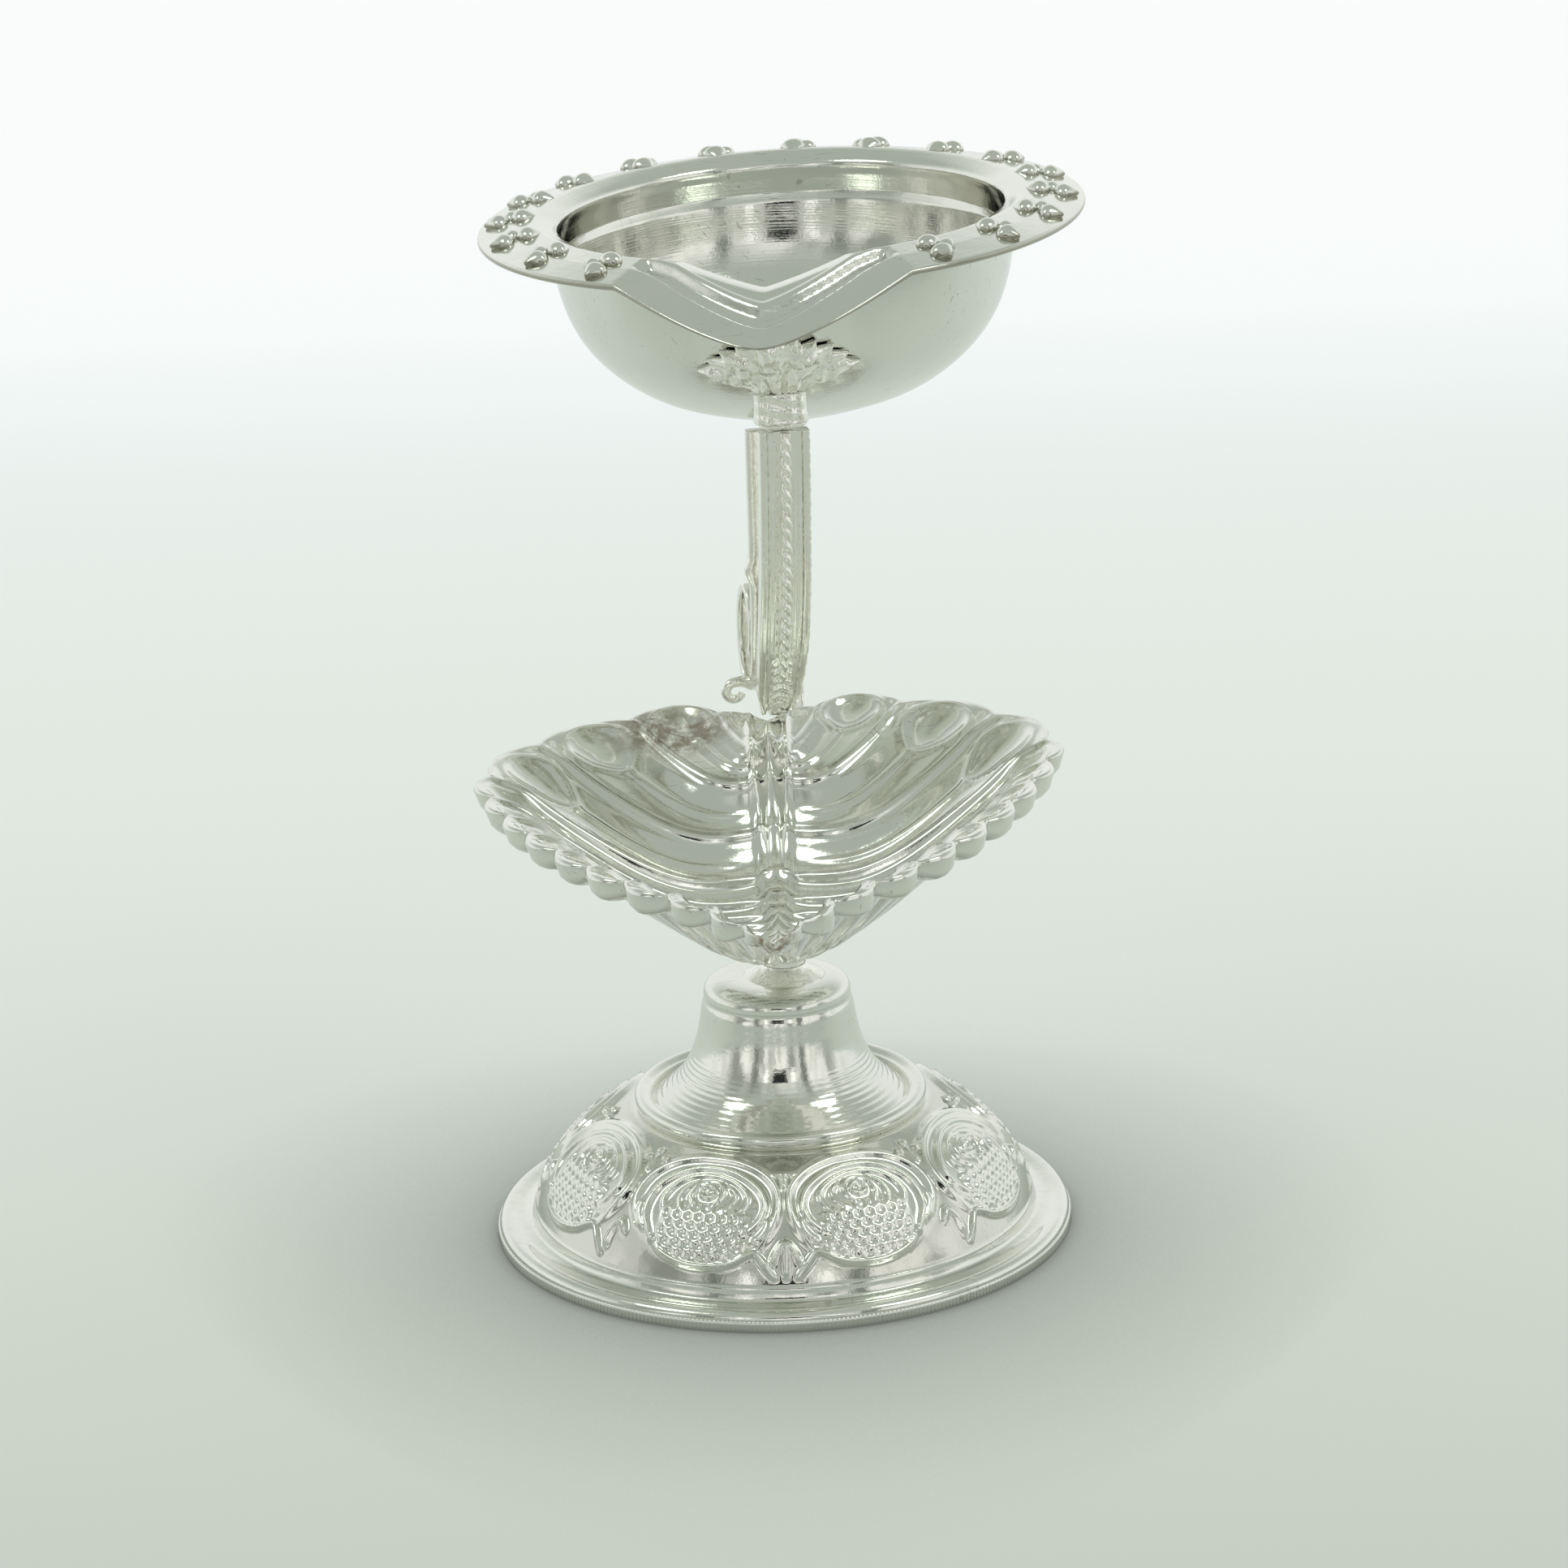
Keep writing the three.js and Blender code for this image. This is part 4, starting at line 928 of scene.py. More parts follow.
LEAF_MARGIN_SHARES = [
    (0, 0), (0.07, 0.085), (0.145, 0.185), (0.22, 0.34), (0.275, 0.467), (0.345, 0.6), (0.425, 0.717),
    (0.503, 0.82), (0.58, 0.897), (0.656, 0.96), (0.747, 1), (0.852, 0.927), (0.921, 0.78), (0.965, 0.6),
    (1, 0.37), (0.99, 0.2), (0.96, 0.08), (0.92, 0),
]
LEAF_FRONT_SHARE = 0.632
LEAF_LOBE_SHARES = [0.731, 0.84, 0.934]
FRONT_SCALLOPS = 10
NOTCH_PIECE = FRONT_SCALLOPS + len(LEAF_LOBE_SHARES)
# Where the burnt patch at the back lies from the foot's axis, and how far both patches reach.
BACK_STAIN_X, BACK_STAIN_Y = -10 * MM, 20 * MM
BACK_STAIN_WIDE, BACK_STAIN_LONG = 8 * MM, 4.5 * MM
TIP_STAIN_WIDE, TIP_STAIN_LONG = 3.4 * MM, 3.2 * MM


def scallop_ends():
    """Where the scallops end along the margin, as shares of its length."""
    even = [LEAF_FRONT_SHARE * i / FRONT_SCALLOPS for i in range(FRONT_SCALLOPS + 1)]
    return np.array([*even, *LEAF_LOBE_SHARES, 1])


def scallop_at(along):
    """For places along the margin: the scallop's number, its width and how far through it they lie."""
    ends = scallop_ends()
    index = np.clip(np.searchsorted(ends, along, side="right") - 1, 0, len(ends) - 2)
    width = ends[index + 1] - ends[index]
    return index, width, (along - ends[index]) / width


def vein_start(sizes, along):
    """Where the vein that ends at a place on the margin leaves the midrib."""
    return -sizes.tip + (sizes.tip + sizes.notch) * (1 - (1 - along) ** (2.1 - 0.5 * along))


def leaf_relief(sizes, along, side, off, taper):
    """How far ridges, drops and midrib stand over the dish's inner face."""
    index, width, phase = scallop_at(along)
    plain = index == NOTCH_PIECE
    lobe = (index >= FRONT_SCALLOPS) & ~plain
    near_ridge = np.minimum(phase, 1 - phase) * width
    ridge = np.exp(-(near_ridge / 0.003) ** 2) - 0.45 * np.exp(-((near_ridge - 0.009) / 0.004) ** 2)
    crest = sizes.ridge * ridge * taper * np.where(plain, 0.4, 1)
    crest *= ease(0.02, 0.12, side) * ease(1, 0.93, side)
    second = sizes.second_ridge * np.exp(-(((phase - 0.5) * width) / 0.005) ** 2)
    crest += np.where(lobe, second, 0) * ease(0.1, 0.3, side) * ease(0.8, 0.68, side)
    drop_across = (phase - 0.5) / (0.3 * ease(0.6, 0.9, side) + 0.02)
    drop_length = np.where(side > 0.88, 0.07, np.where(lobe, 0.12, 0.18))
    from_middle = np.hypot(drop_across, (side - 0.88) / drop_length)
    raised_rim = 0.22 * np.exp(-((from_middle - 1.15) / 0.16) ** 2)
    drop = sizes.drop * (0.6 * np.maximum(0, 1 - from_middle**2) - raised_rim) * np.where(plain, 0, 1)
    start = vein_start(sizes, along)
    rib_half = sizes.rib_half * np.clip(1 - 0.038 * (sizes.notch - start) / MM, 0, 1)
    double = np.exp(-((off - rib_half) / (0.4 * MM)) ** 2) * ease(-12 * MM, -6 * MM, start)
    single = np.exp(-(off / (0.35 * MM)) ** 2)
    return crest - drop * taper + sizes.rib * (double + 0.6 * single) * taper


def leaf_surface(sizes, along, across, under):
    """The dish's points at shares of its length and of its half width."""
    span = sizes.tip + sizes.back
    margin = [(sizes.half_width * out, -sizes.tip + span * back) for back, out in LEAF_MARGIN_SHARES]
    margin[-1] = (0, sizes.notch)
    spots, tangents = along_path(smooth_path(margin, 1200), along)
    index, _, phase = scallop_at(along)
    arch = np.clip(np.sin(pi * np.clip(phase, 0, 1)), 0, 1)
    swell = np.where(index == NOTCH_PIECE, 0.25, 1.0) * arch**0.8
    taper = np.minimum(1, 12 * np.minimum(along, 1 - along))
    side = np.abs(across)
    push = sizes.scallop * swell * taper * ease(0.75, 1, side)
    x = spots[:, 0] * side + tangents[:, 1] * push
    back_part = ease(0.3, 0.75, along)
    dip = 0.8 * sizes.dip * back_part * taper * np.sin(pi * side**0.75)
    swept_back = side + 0.6 * back_part * (hinged(side, 0.42, 0.12) - side)
    start = vein_start(sizes, along)
    y = start + (spots[:, 1] - start) * swept_back - dip - tangents[:, 0] * push
    steepness = np.where(start < 0, 1.45, 2)
    reach = np.where(start < 0, sizes.tip, sizes.notch)
    keel = sizes.keel + (sizes.rim - sizes.keel) * (np.abs(start) / reach) ** steepness
    bent = 0.12 * ease(0.25, 0.72, side) * ease(1, 0.85, side) * np.where(start < 0, taper, 1)
    z = keel + (sizes.rim - keel) * (side ** (2 + 0.6 * back_part) + bent)
    z -= sizes.flute * swell * taper * np.sin(pi * np.minimum(1, 0.15 + 0.85 * side)) ** 0.7
    at_margin = ease(0.82, 0.95, side) * taper
    bullet = (sizes.margin - sizes.sheet) * at_margin * arch**0.5
    if under:
        z -= (0.35 + 0.65 * taper) * (sizes.sheet - 0.3 * MM * at_margin) + 0.7 * bullet
    else:
        z += 0.3 * bullet + leaf_relief(sizes, along, side, spots[:, 0] * side, taper)
    return np.stack([np.sign(across) * x, y, z], 1)


class LAMP_OT_leaf(Operator):
    """Models the fluted, scalloped leaf dish"""

    bl_idname = "lamp.leaf"
    bl_label = "Leaf dish"

    def execute(self, context):
        """Forms a closed shell round the leaf's surface and gives it its margin."""
        sizes = settings(context).leaf
        finish = settings(context).finish
        over, below, per_scallop = 180, 84, 22
        columns = over + below
        ends = scallop_ends()
        stations = np.concatenate([np.linspace(a, b, per_scallop, endpoint=False)
                                   for a, b in zip(ends, ends[1:])] + [[1]])
        rows = len(stations) - 1

        def place(u, v):
            station = stations[np.rint(v * rows).astype(int)]
            column = np.rint(u * columns)
            top = column <= over
            part = np.where(top, 2 * column / over - 1, 1 - 2 * (column - over) / below)
            across = np.sign(part) * np.abs(part) ** 0.8
            points = leaf_surface(sizes, station, across, False)
            lower = leaf_surface(sizes, station, across, True)
            middle_height = (points[:, 2] + lower[:, 2]) / 2
            edge = np.sqrt(np.maximum(0, 1 - np.maximum(0, (np.abs(across) - 0.962) / 0.038) ** 2))
            height = np.where(top, points[:, 2], lower[:, 2])
            points[:, 2] = middle_height + (height - middle_height) * edge
            return points

        dish = formed("leaf_shell", columns, rows, place)
        at = places(dish)
        back_patch = np.hypot((at[:, 0] - BACK_STAIN_X) / BACK_STAIN_WIDE,
                              (at[:, 1] - BACK_STAIN_Y) / BACK_STAIN_LONG)
        tip_patch = np.hypot(at[:, 0] / TIP_STAIN_WIDE, (at[:, 1] + sizes.tip - 1 * MM) / TIP_STAIN_LONG)
        burnt = np.maximum(0.85 * ease(1.15, 0.45, back_patch), ease(1.1, 0.6, tip_patch))
        paint(dish, "stain", burnt)
        tilt = Matrix.Rotation(-sizes.roll, 4, "Y")
        keel = Matrix.Translation((sizes.offset, 0, sizes.keel))
        settle(dish, ON_AXIS @ keel @ tilt @ Matrix.Translation((0, 0, -sizes.keel)))
        pressed = silver("pressed silver of the leaf", finish, 0.06 * MM, 1.1, stain="stain")
        hand_over(dish, pressed, "pressed_silver", "leaf_dish")
        return {"FINISHED"}


# Stem

BAND_SHARES = [(0.08, 0.078), (-0.08, 0.053), (-0.26, 0.09), (-0.66, 0.25), (-0.95, 0.48), (-1.04, 0.66),
               (-1.1, 0.83), (-1.11, 0.976)]
BAND_FOOT_SHARE = 0.85
VOLUTE_BACK_SHARE = 0.22


def outline_section(outline):
    """A bar's section from the corners of its outline, which start in the middle of its underside."""
    line = evenly(np.array([*outline, outline[0]], float), 400)
    share_gone = np.linspace(0, 1, len(line))

    def section(u):
        return np.interp(u, share_gone, line[:, 0]), np.interp(u, share_gone, line[:, 1])

    return section


class LAMP_OT_stem(Operator):
    """Models the cast scroll stem with its rope, volute, leg and curl"""

    bl_idname = "lamp.stem"
    bl_label = "Stem"

    def execute(self, context):
        """Makes each piece of the scroll in the scroll's own plane and stands it on the leaf."""
        sizes = settings(context).stem
        finish = settings(context).finish
        leaf = settings(context).leaf
        gap = settings(context).bell.gap
        cast = cast_silver("cast silver of the stem", finish, 0.1, 0.05 * MM)
        solder = cast_silver("solder of the stem", finish, 0.2, 0.2 * MM)
        stand = Matrix.Translation((sizes.stand_x, sizes.stand_y, leaf.rim + gap))
        turn = Matrix.Rotation(sizes.lean, 4, "Y") @ Matrix.Rotation(sizes.turn, 4, "Z")
        self.on_leaf = ON_AXIS @ stand @ turn
        band = smooth_path([(sizes.bulge * back, sizes.rise * up) for back, up in BAND_SHARES], 160)
        self.lay_band(sizes, band, cast)
        self.lay_rope(sizes, band, gap, cast)
        self.lay_back_scroll(sizes, gap, cast)
        self.lay_leg(sizes, cast)
        self.wind_curl(sizes, cast)
        self.drop_solder(sizes, band, gap, solder)
        return {"FINISHED"}

    def finish_piece(self, piece, material, slot, node):
        """Stands a finished piece on the leaf."""
        settle(piece, self.on_leaf)
        hand_over(piece, material, slot, node)

    def lay_band(self, sizes, path, material):
        """The front band, with raised edges and fine lines along it."""
        half, thick, bead = sizes.band / 2, sizes.band_thickness, sizes.bead_height
        inner = half - sizes.bead_width
        soft = 0.12 * MM
        side = [(half - soft, 0), (half, soft), (half, thick + bead - soft), (half - soft, thick + bead),
                (inner + soft, thick + bead), (inner, thick + bead - soft), (inner - soft, thick)]
        outline = [(0, 0), *[(-across, off) for across, off in side], (0, thick), *reversed(side)]
        around = outline_section(outline)

        def section(u, along):
            across, off = around(u)
            on_face = (off > 0.8 * thick) & (np.abs(across) < inner)
            brushed = 0.05 * MM * np.cos(across / half * TURN * 5.5)
            chevrons = np.mod((along * 33 * MM + 0.5 * np.abs(across)) / sizes.chevron_pitch, 1)
            rise = sizes.chevron * ease(0.3, 0.22, along) * np.sqrt(np.sin(pi * chevrons))
            rise = rise * ease(0.75 * inner, 0.5 * inner, np.abs(across))
            off = off + np.where(on_face, brushed + rise, 0)
            ragged = 1 + 0.02 * np.sin(along * 210) * np.sin(along * 77 + 2)
            wide = BAND_FOOT_SHARE + (1 - BAND_FOOT_SHARE) * ease(0.05, 0.36, along)
            rounded = np.sqrt(np.clip((along + 0.012) / 0.13, 0, 1))
            return across * wide * rounded * np.where(across > 0, ragged, 1), off

        band = swept("stem_front_band", path, section, 300, 96)
        self.finish_piece(band, material, "cast_silver", "stem_band")

    def lay_rope(self, sizes, path, gap, material):
        """Two strands twisted round each other up the middle of the band."""
        spots, tangents = along_path(path, np.linspace(0.2, 1, 60))
        off = sizes.band_thickness + sizes.rope / 2 + gap
        line = np.stack([spots[:, 0] - tangents[:, 1] * off, spots[:, 1] + tangents[:, 0] * off], 1)
        line = evenly(line, 400)
        reach = np.linalg.norm(np.diff(line, axis=0), axis=1).sum()

        def section(u, along):
            turn = TURN * u
            twist = TURN * along * reach / sizes.rope_lay
            uneven = 0.94 + 0.06 * np.sin(along * 61)
            lobes = sizes.rope * (0.6 + 0.4 * np.abs(np.cos(turn - twist))) * uneven
            return lobes * np.cos(turn), lobes * np.sin(turn)

        rope = swept("stem_twisted_rope", line, section, 400, 28)
        self.finish_piece(rope, material, "cast_silver", "stem_rope")

    def lay_back_scroll(self, sizes, gap, material):
        """The rear strap and the tall volute that it ends in."""
        back, rise = VOLUTE_BACK_SHARE * sizes.bulge, sizes.rise
        middle_up = gap + sizes.volute_height + 0.015 * rise
        points = [(back + gap, sizes.back_top), (0.24 * sizes.bulge, 0.7 * rise), (back, 0.5 * rise)]
        for part in np.linspace(0, 1, 15):
            turn = pi + TURN * 1.12 * part
            size = 1 - 0.45 * part**2
            points.append((back + sizes.volute * (1 + size * cos(turn)),
                           middle_up + sizes.volute_height * size * sin(turn)))
        self.lay_strap("stem_rear_strap", "stem_back_scroll", smooth_path(points, 260), sizes.back_width,
                       sizes.back_thickness, material, knot=0.27)

    def lay_leg(self, sizes, material):
        """The leg that grips the leaf's back wall."""
        bulge, rise, under = sizes.bulge, sizes.rise, sizes.leg_reach
        points = [(0.16 * bulge, -under), (0.5 * bulge, -0.26 * under), (0.62 * bulge, 0.03 * rise),
                  (0.56 * bulge, 0.085 * rise)]
        aside = (sizes.back_width + sizes.leg_width) / 2 + sizes.leg_gap / 2
        self.lay_strap("stem_foot_leg", "stem_leg", smooth_path(points, 90), sizes.leg_width,
                       sizes.leg_thickness, material, aside)

    def lay_strap(self, name, node, path, width, thickness, material, offset=0.0, knot=-1.0):
        """A strap with a hollowed face, rounded edges and, where it is given, a knot on its left."""

        def section(u, along):
            turn = TURN * u
            across = np.sign(np.cos(turn)) * np.abs(np.cos(turn)) ** 0.45
            off = np.sign(np.sin(turn)) * np.abs(np.sin(turn)) ** 0.45
            dish = 0.12 * MM * (1 - across**2)
            lump = 1 + 0.3 * np.exp(-((along - knot) / 0.018) ** 2) * (across < 0)
            return width / 2 * across * lump + offset, thickness / 2 * (1 + off) - np.where(off > 0, dish, 0)

        strap = swept(name, path, section, len(path) - 1, 40)
        self.finish_piece(strap, material, "cast_silver", node)

    def wind_curl(self, sizes, material):
        """A small scroll end whose arm leaves the volute and winds down into a ring."""
        radius = sizes.curl
        points = [(1.9 * radius, 0.6 * radius), (0.9 * radius, radius)]
        for part in np.linspace(0.1, 1, 10):
            turn = pi * (0.4 + 1.5 * part)
            size = radius * (1 - 0.2 * part)
            points.append((size * cos(turn), size * sin(turn)))
        path = smooth_path(points, 90)
        left = -sizes.back_width / 2 - 1.6 * radius
        behind = VOLUTE_BACK_SHARE * sizes.bulge + sizes.volute / 2
        lift = radius + sizes.curl_wire

        def section(u, along):
            wide = sizes.curl_wire * (1 - 0.25 * along)
            return wide * np.cos(TURN * u), wide * np.sin(TURN * u)

        def lay_flat(points, _):
            return np.stack([points[:, 1] + left, points[:, 0] + behind, points[:, 2] + lift], 1)

        curl = swept("stem_small_curl", path, section, 90, 20, lay_flat)
        self.finish_piece(curl, material, "cast_silver", "stem_curl")

    def drop_solder(self, sizes, path, gap, material):
        """The uneven bead of solder on the band's head."""
        deselect()
        bpy.ops.mesh.primitive_uv_sphere_add(segments=48, ring_count=24, radius=1)
        bead = bpy.context.object
        bead.name = "stem_head_bead"
        at = places(bead)
        lumps = 1 - 0.12 * (0.5 + 0.5 * wander(at, 0.5, 11))
        back, up = path[-1]
        size = np.array([sizes.band / 2, sizes.band_thickness, sizes.solder / 2 + gap])
        spot = np.array([0, back - sizes.band_thickness / 2, up + gap + sizes.solder / 2])
        move_points(bead, at * lumps[:, None] * size + spot)
        close_up(bead)
        self.finish_piece(bead, material, "solder", "stem_head_solder")


# Bowl

BOWL_UNDER_SHARES = [(0, 1), (0.24, 0.985), (0.44, 0.925), (0.62, 0.845), (0.78, 0.715), (0.89, 0.57),
                     (0.955, 0.42), (1, 0.2)]
BOWL_INSIDE_SHARES = [(0.955, 0.4), (0.89, 0.54), (0.77, 0.68), (0.6, 0.8), (0.4, 0.885)]
SPRAY_EDGE_SHARES = [(0.2, -0.9), (0.48, -0.62), (0.76, -0.4), (1, -0.06), (0.8, 0.12), (0.86, 0.3),
                     (0.64, 0.4), (0.68, 0.64), (0.48, 0.6), (0.47, 0.88), (0.31, 0.74), (0.24, 1),
                     (0.12, 0.82)]
LIP_ROUND_SHARE = 0.15
LIP_INNER_SHARE = 0.7
BEAD_TREFOIL_SHARES = [(0.3, 0, 1), (0.68, 0, 1), (0.5, 0.4, 0.8)]


def bowl_outline(sizes):
    """The bowl's outline from the middle of its underside, over the flange, to the well's middle."""
    wall, depth, sheet, rise = sizes.wall, sizes.depth, sizes.sheet, sizes.flange_rise
    under = [(wall * out, -depth * down) for out, down in BOWL_UNDER_SHARES]
    under.append((wall, rise - 1.6 * sheet))
    under = smooth_path(under, 90)
    halfway = (sizes.rim + sizes.mouth) / 2
    edge_middle, fillet = sizes.rim - sheet / 2, 0.3 * MM
    flange_low = evenly(np.array([(wall + fillet, rise - 2 * sheet + fillet), (edge_middle, -sheet)]), 14)
    edge = [(edge_middle + sheet / 2 * cos(turn), -sheet / 2 + sheet / 2 * sin(turn))
            for turn in np.linspace(-pi / 2, pi / 2, 9)]
    flange_top = evenly(np.array([(edge_middle, 0), (halfway, 0.6 * rise),
                                  (sizes.mouth + sheet, 0.97 * rise)]), 40)
    throat = smooth_path([(sizes.mouth + sheet, 0.97 * rise), (sizes.mouth, rise - 0.3 * sheet),
                          (wall - sheet, rise - 1.5 * sheet), (wall - sheet, rise - sizes.step_depth * 0.6),
                          (wall - sheet, rise - sizes.step_depth)], 26)
    step = wall - sheet - sizes.step_width
    inside = [(step, rise - sizes.step_depth - sizes.step_width)]
    inside += [(step * out, -depth * down) for out, down in BOWL_INSIDE_SHARES]
    inside.append((0, sheet - depth))
    inside = smooth_path(inside, 80)
    parts = [under[:-1], flange_low, edge, flange_top[1:], throat[1:], inside]
    return [tuple(point) for part in parts for point in part]


def wall_radius(sizes, height):
    """The outer radius of the bowl's wall at a height under the flange."""
    side = [(-sizes.depth * down, sizes.wall * out) for out, down in BOWL_UNDER_SHARES]
    side.append((sizes.flange_rise - 1.6 * sizes.sheet, sizes.wall))
    return np.interp(height, *zip(*side))


def lip(sizes, radius, height, around):
    """How far the pressed lip moves a point of the bowl forwards and down."""
    part = np.minimum(1, np.abs(around - sizes.lip_turn) / sizes.lip_half)
    whole = hypot(1, LIP_ROUND_SHARE) - LIP_ROUND_SHARE
    outer = 1 - (np.hypot(part, LIP_ROUND_SHARE) - LIP_ROUND_SHARE) / whole
    pointed = outer**1.3
    straight = np.maximum(0, 1 - part / LIP_INNER_SHARE)
    across = np.clip((radius - sizes.wall) / (sizes.rim - sizes.wall), 0, 1)
    reach = (1 - across) * sizes.lip_inner_reach * straight + across * sizes.lip_reach * pointed
    drop = (1 - across) * sizes.lip_inner_drop * straight + across * sizes.lip_drop * outer
    return reach * ease(-0.75 * sizes.depth, 0, height), drop * ease(-sizes.step_depth, 0, height)


def on_bowl(sizes, radius, height, around):
    """A point of the bowl in its own frame."""
    reach, drop = lip(sizes, radius, height, around)
    out = radius + reach
    return np.stack([out * np.sin(around), -out * np.cos(around), height - drop], -1)


def off_wall(sizes, across, up, off):
    """A point that stands off the bowl's wall at the spray."""
    height = up - sizes.spray_drop
    radius = wall_radius(sizes, height)
    step = sizes.sheet
    slope = (wall_radius(sizes, height + step) - wall_radius(sizes, height - step)) / (2 * step)
    around = (across + sizes.spray_offset) / (radius + sizes.spray_thickness)
    lean = np.hypot(1, slope)
    points = on_bowl(sizes, radius, height, around)
    points[..., 0] += off / lean * np.sin(around)
    points[..., 1] -= off / lean * np.cos(around)
    points[..., 2] -= off / lean * slope
    return points


class LAMP_OT_bowl(Operator):
    """Models the beaded bowl with its lip, spray and socket"""

    bl_idname = "lamp.bowl"
    bl_label = "Bowl"

    def execute(self, context):
        """Spins the bowl, pulls its lip and sets its beads and its spray."""
        sizes = settings(context).bowl
        finish = settings(context).finish
        gap = settings(context).bell.gap
        turn = Matrix.Rotation(-sizes.pitch, 4, "X") @ Matrix.Rotation(-sizes.roll, 4, "Y")
        self.on_stem = ON_AXIS @ Matrix.Translation((sizes.offset, sizes.set_back, sizes.height)) @ turn
        axis = (FOOT_X + sizes.offset, FOOT_Y + sizes.set_back)
        spun = silver("spun silver of the bowl", finish, 0.05 * MM, 1.3, axis=axis, painted_shade="painted_shade")
        cast = cast_silver("cast silver of the spray", finish, 0.1, 0.12 * MM)
        self.spin_bowl(sizes, spun)
        self.set_beads(sizes, spun)
        self.lay_spray(sizes, gap, cast)
        self.lay_socket(sizes, gap, cast)
        return {"FINISHED"}

    def finish_piece(self, piece, material, slot, node):
        """Puts a finished piece in the bowl's place."""
        settle(piece, self.on_stem)
        hand_over(piece, material, slot, node)

    def spin_bowl(self, sizes, material):
        """The bowl with its flange and lip."""
        bowl = turned("bowl_shell", bowl_outline(sizes), 360)
        at = places(bowl)
        radius = np.hypot(at[:, 0], at[:, 1])
        around = np.arctan2(at[:, 0], -at[:, 1])
        height = at[:, 2].copy()
        at = on_bowl(sizes, radius, height, around)
        across = (radius - sizes.mouth) / (sizes.rim - sizes.mouth)
        on_top = height > -0.4 * sizes.sheet
        part = np.abs(around - sizes.lip_turn) / sizes.lip_half
        off_line = np.abs(across - 0.54 + 0.27 * part)
        bed = ease(0.17, 0.11, off_line) * ease(1.0, 0.93, part) * on_top
        raised = np.exp(-((off_line - 0.21) / 0.05) ** 2) * ease(1.0, 0.85, part) * on_top
        at[:, 2] += sizes.lip_groove * (0.2 * raised - bed)
        # Painted shade under the rolled outer edge of the flange.
        paint(bowl, "painted_shade", np.where((across > 0.97) & (height < -0.3 * sizes.sheet), 0.8, 0))
        move_points(bowl, at)
        self.finish_piece(bowl, material, "spun_silver", "upper_bowl")

    def set_beads(self, sizes, material):
        """Clusters of three beads round the flange, joined into one piece."""
        pitch = (sizes.bead_last - sizes.bead_first) / (sizes.clusters - 1)
        wide = sizes.rim - sizes.mouth
        beads = []
        for i in range(sizes.clusters):
            middle_angle = sizes.bead_first + pitch * i
            away = 1 if middle_angle < (sizes.bead_first + sizes.bead_last) / 2 else -1
            for across, along, size in BEAD_TREFOIL_SHARES:
                around = middle_angle + away * 0.38 * pitch * along
                radius = sizes.mouth + wide * across
                height = sizes.flange_rise * (1 - across)
                beads.append(self.drop_bead(sizes, around, radius, height, size, across < 0.4))
        deselect()
        for bead in beads:
            bead.select_set(True)
        bpy.context.view_layer.objects.active = beads[0]
        bpy.ops.object.join()
        beads[0].name = "bowl_beads"
        self.finish_piece(beads[0], material, "spun_silver", "upper_bowl")

    def drop_bead(self, sizes, around, radius, height, size, pointed):
        """One bead, drawn out to a point inwards next to the mouth and outwards next to the rim."""
        deselect()
        bpy.ops.mesh.primitive_uv_sphere_add(segments=28, ring_count=16, radius=1)
        bead = bpy.context.object
        at = places(bead)
        tail = at[:, 1] * (1 if pointed else -1)
        drawn = np.maximum(0, tail)
        at[:, 0] *= 1 - 0.6 * drawn**1.5
        at[:, 2] *= 1 - 0.55 * drawn**2
        at[:, 1] += (0.45 if pointed else -0.3) * drawn**2
        # Painted shade round the bead's foot, where it meets the flange.
        paint(bead, "painted_shade", ease(0.34, 0.12, at[:, 2]))
        at[:, 2] = np.maximum(at[:, 2], -0.3)
        at *= np.array([sizes.bead_length, sizes.bead_width, sizes.bead_height]) * size
        move_points(bead, at)
        bpy.ops.object.shade_smooth()
        spot = (radius * sin(around), -radius * cos(around), height)
        settle(bead, Matrix.Translation(spot) @ Matrix.Rotation(around, 4, "Z"))
        return bead

    def lay_spray(self, sizes, gap, material):
        """A ragged cast leaf with lobes and veins that fan out from its foot."""
        half = [(sizes.spray_half_width * x, sizes.spray_half_height * y) for x, y in SPRAY_EDGE_SHARES]
        ring = [(0, -0.95 * sizes.spray_half_height), *half, (0, 0.95 * sizes.spray_half_height),
                *[(-x, y) for x, y in reversed(half)]]
        outline = evenly(np.array([*ring, ring[0]]), 336)
        rings = 30

        def place(u, v):
            row = np.rint(v * (2 * rings)).astype(int)
            outer = row > rings
            part = np.where(outer, 2 * rings - row, row) / rings
            edge = outline[np.rint(u * (len(outline) - 1)).astype(int) % (len(outline) - 1)]
            across, up = (edge * part[:, None]).T
            fan = np.arctan2(across, up + 1.6 * sizes.spray_half_height)
            veins = 0.5 + 0.5 * np.cos(fan * 26)
            lobes = np.abs(np.cos(fan * 6.5 + 0.4))
            crown = 1 - 0.5 * part**2
            body = sizes.spray_thickness * (0.4 * crown + 0.5 * lobes * (1 - part**6) + 0.28 * veins * part)
            lumps = np.stack([across, up, np.zeros(len(up))], 1)
            body = body * (0.85 + 0.4 * wander(lumps, 0.8 * MM, 7))
            round_off = np.sqrt(np.maximum(0, 1 - part**8))
            off = np.where(outer, 2 * gap + body * (0.3 + 0.7 * round_off), gap)
            return off_wall(sizes, across, up, off)

        spray = formed("bowl_spray_leaf", len(outline) - 1, 2 * rings, place)
        self.finish_piece(spray, material, "cast_silver", "bowl_spray")

    def lay_socket(self, sizes, gap, material):
        """The fluted socket that fills the wedge under the spray."""
        top = -sizes.spray_drop - sizes.spray_half_height - sizes.spray_thickness / 2 + gap
        tall = sizes.socket_length + 2 * gap
        front = wall_radius(sizes, top) + sizes.socket_stand
        rows, columns = 24, 96

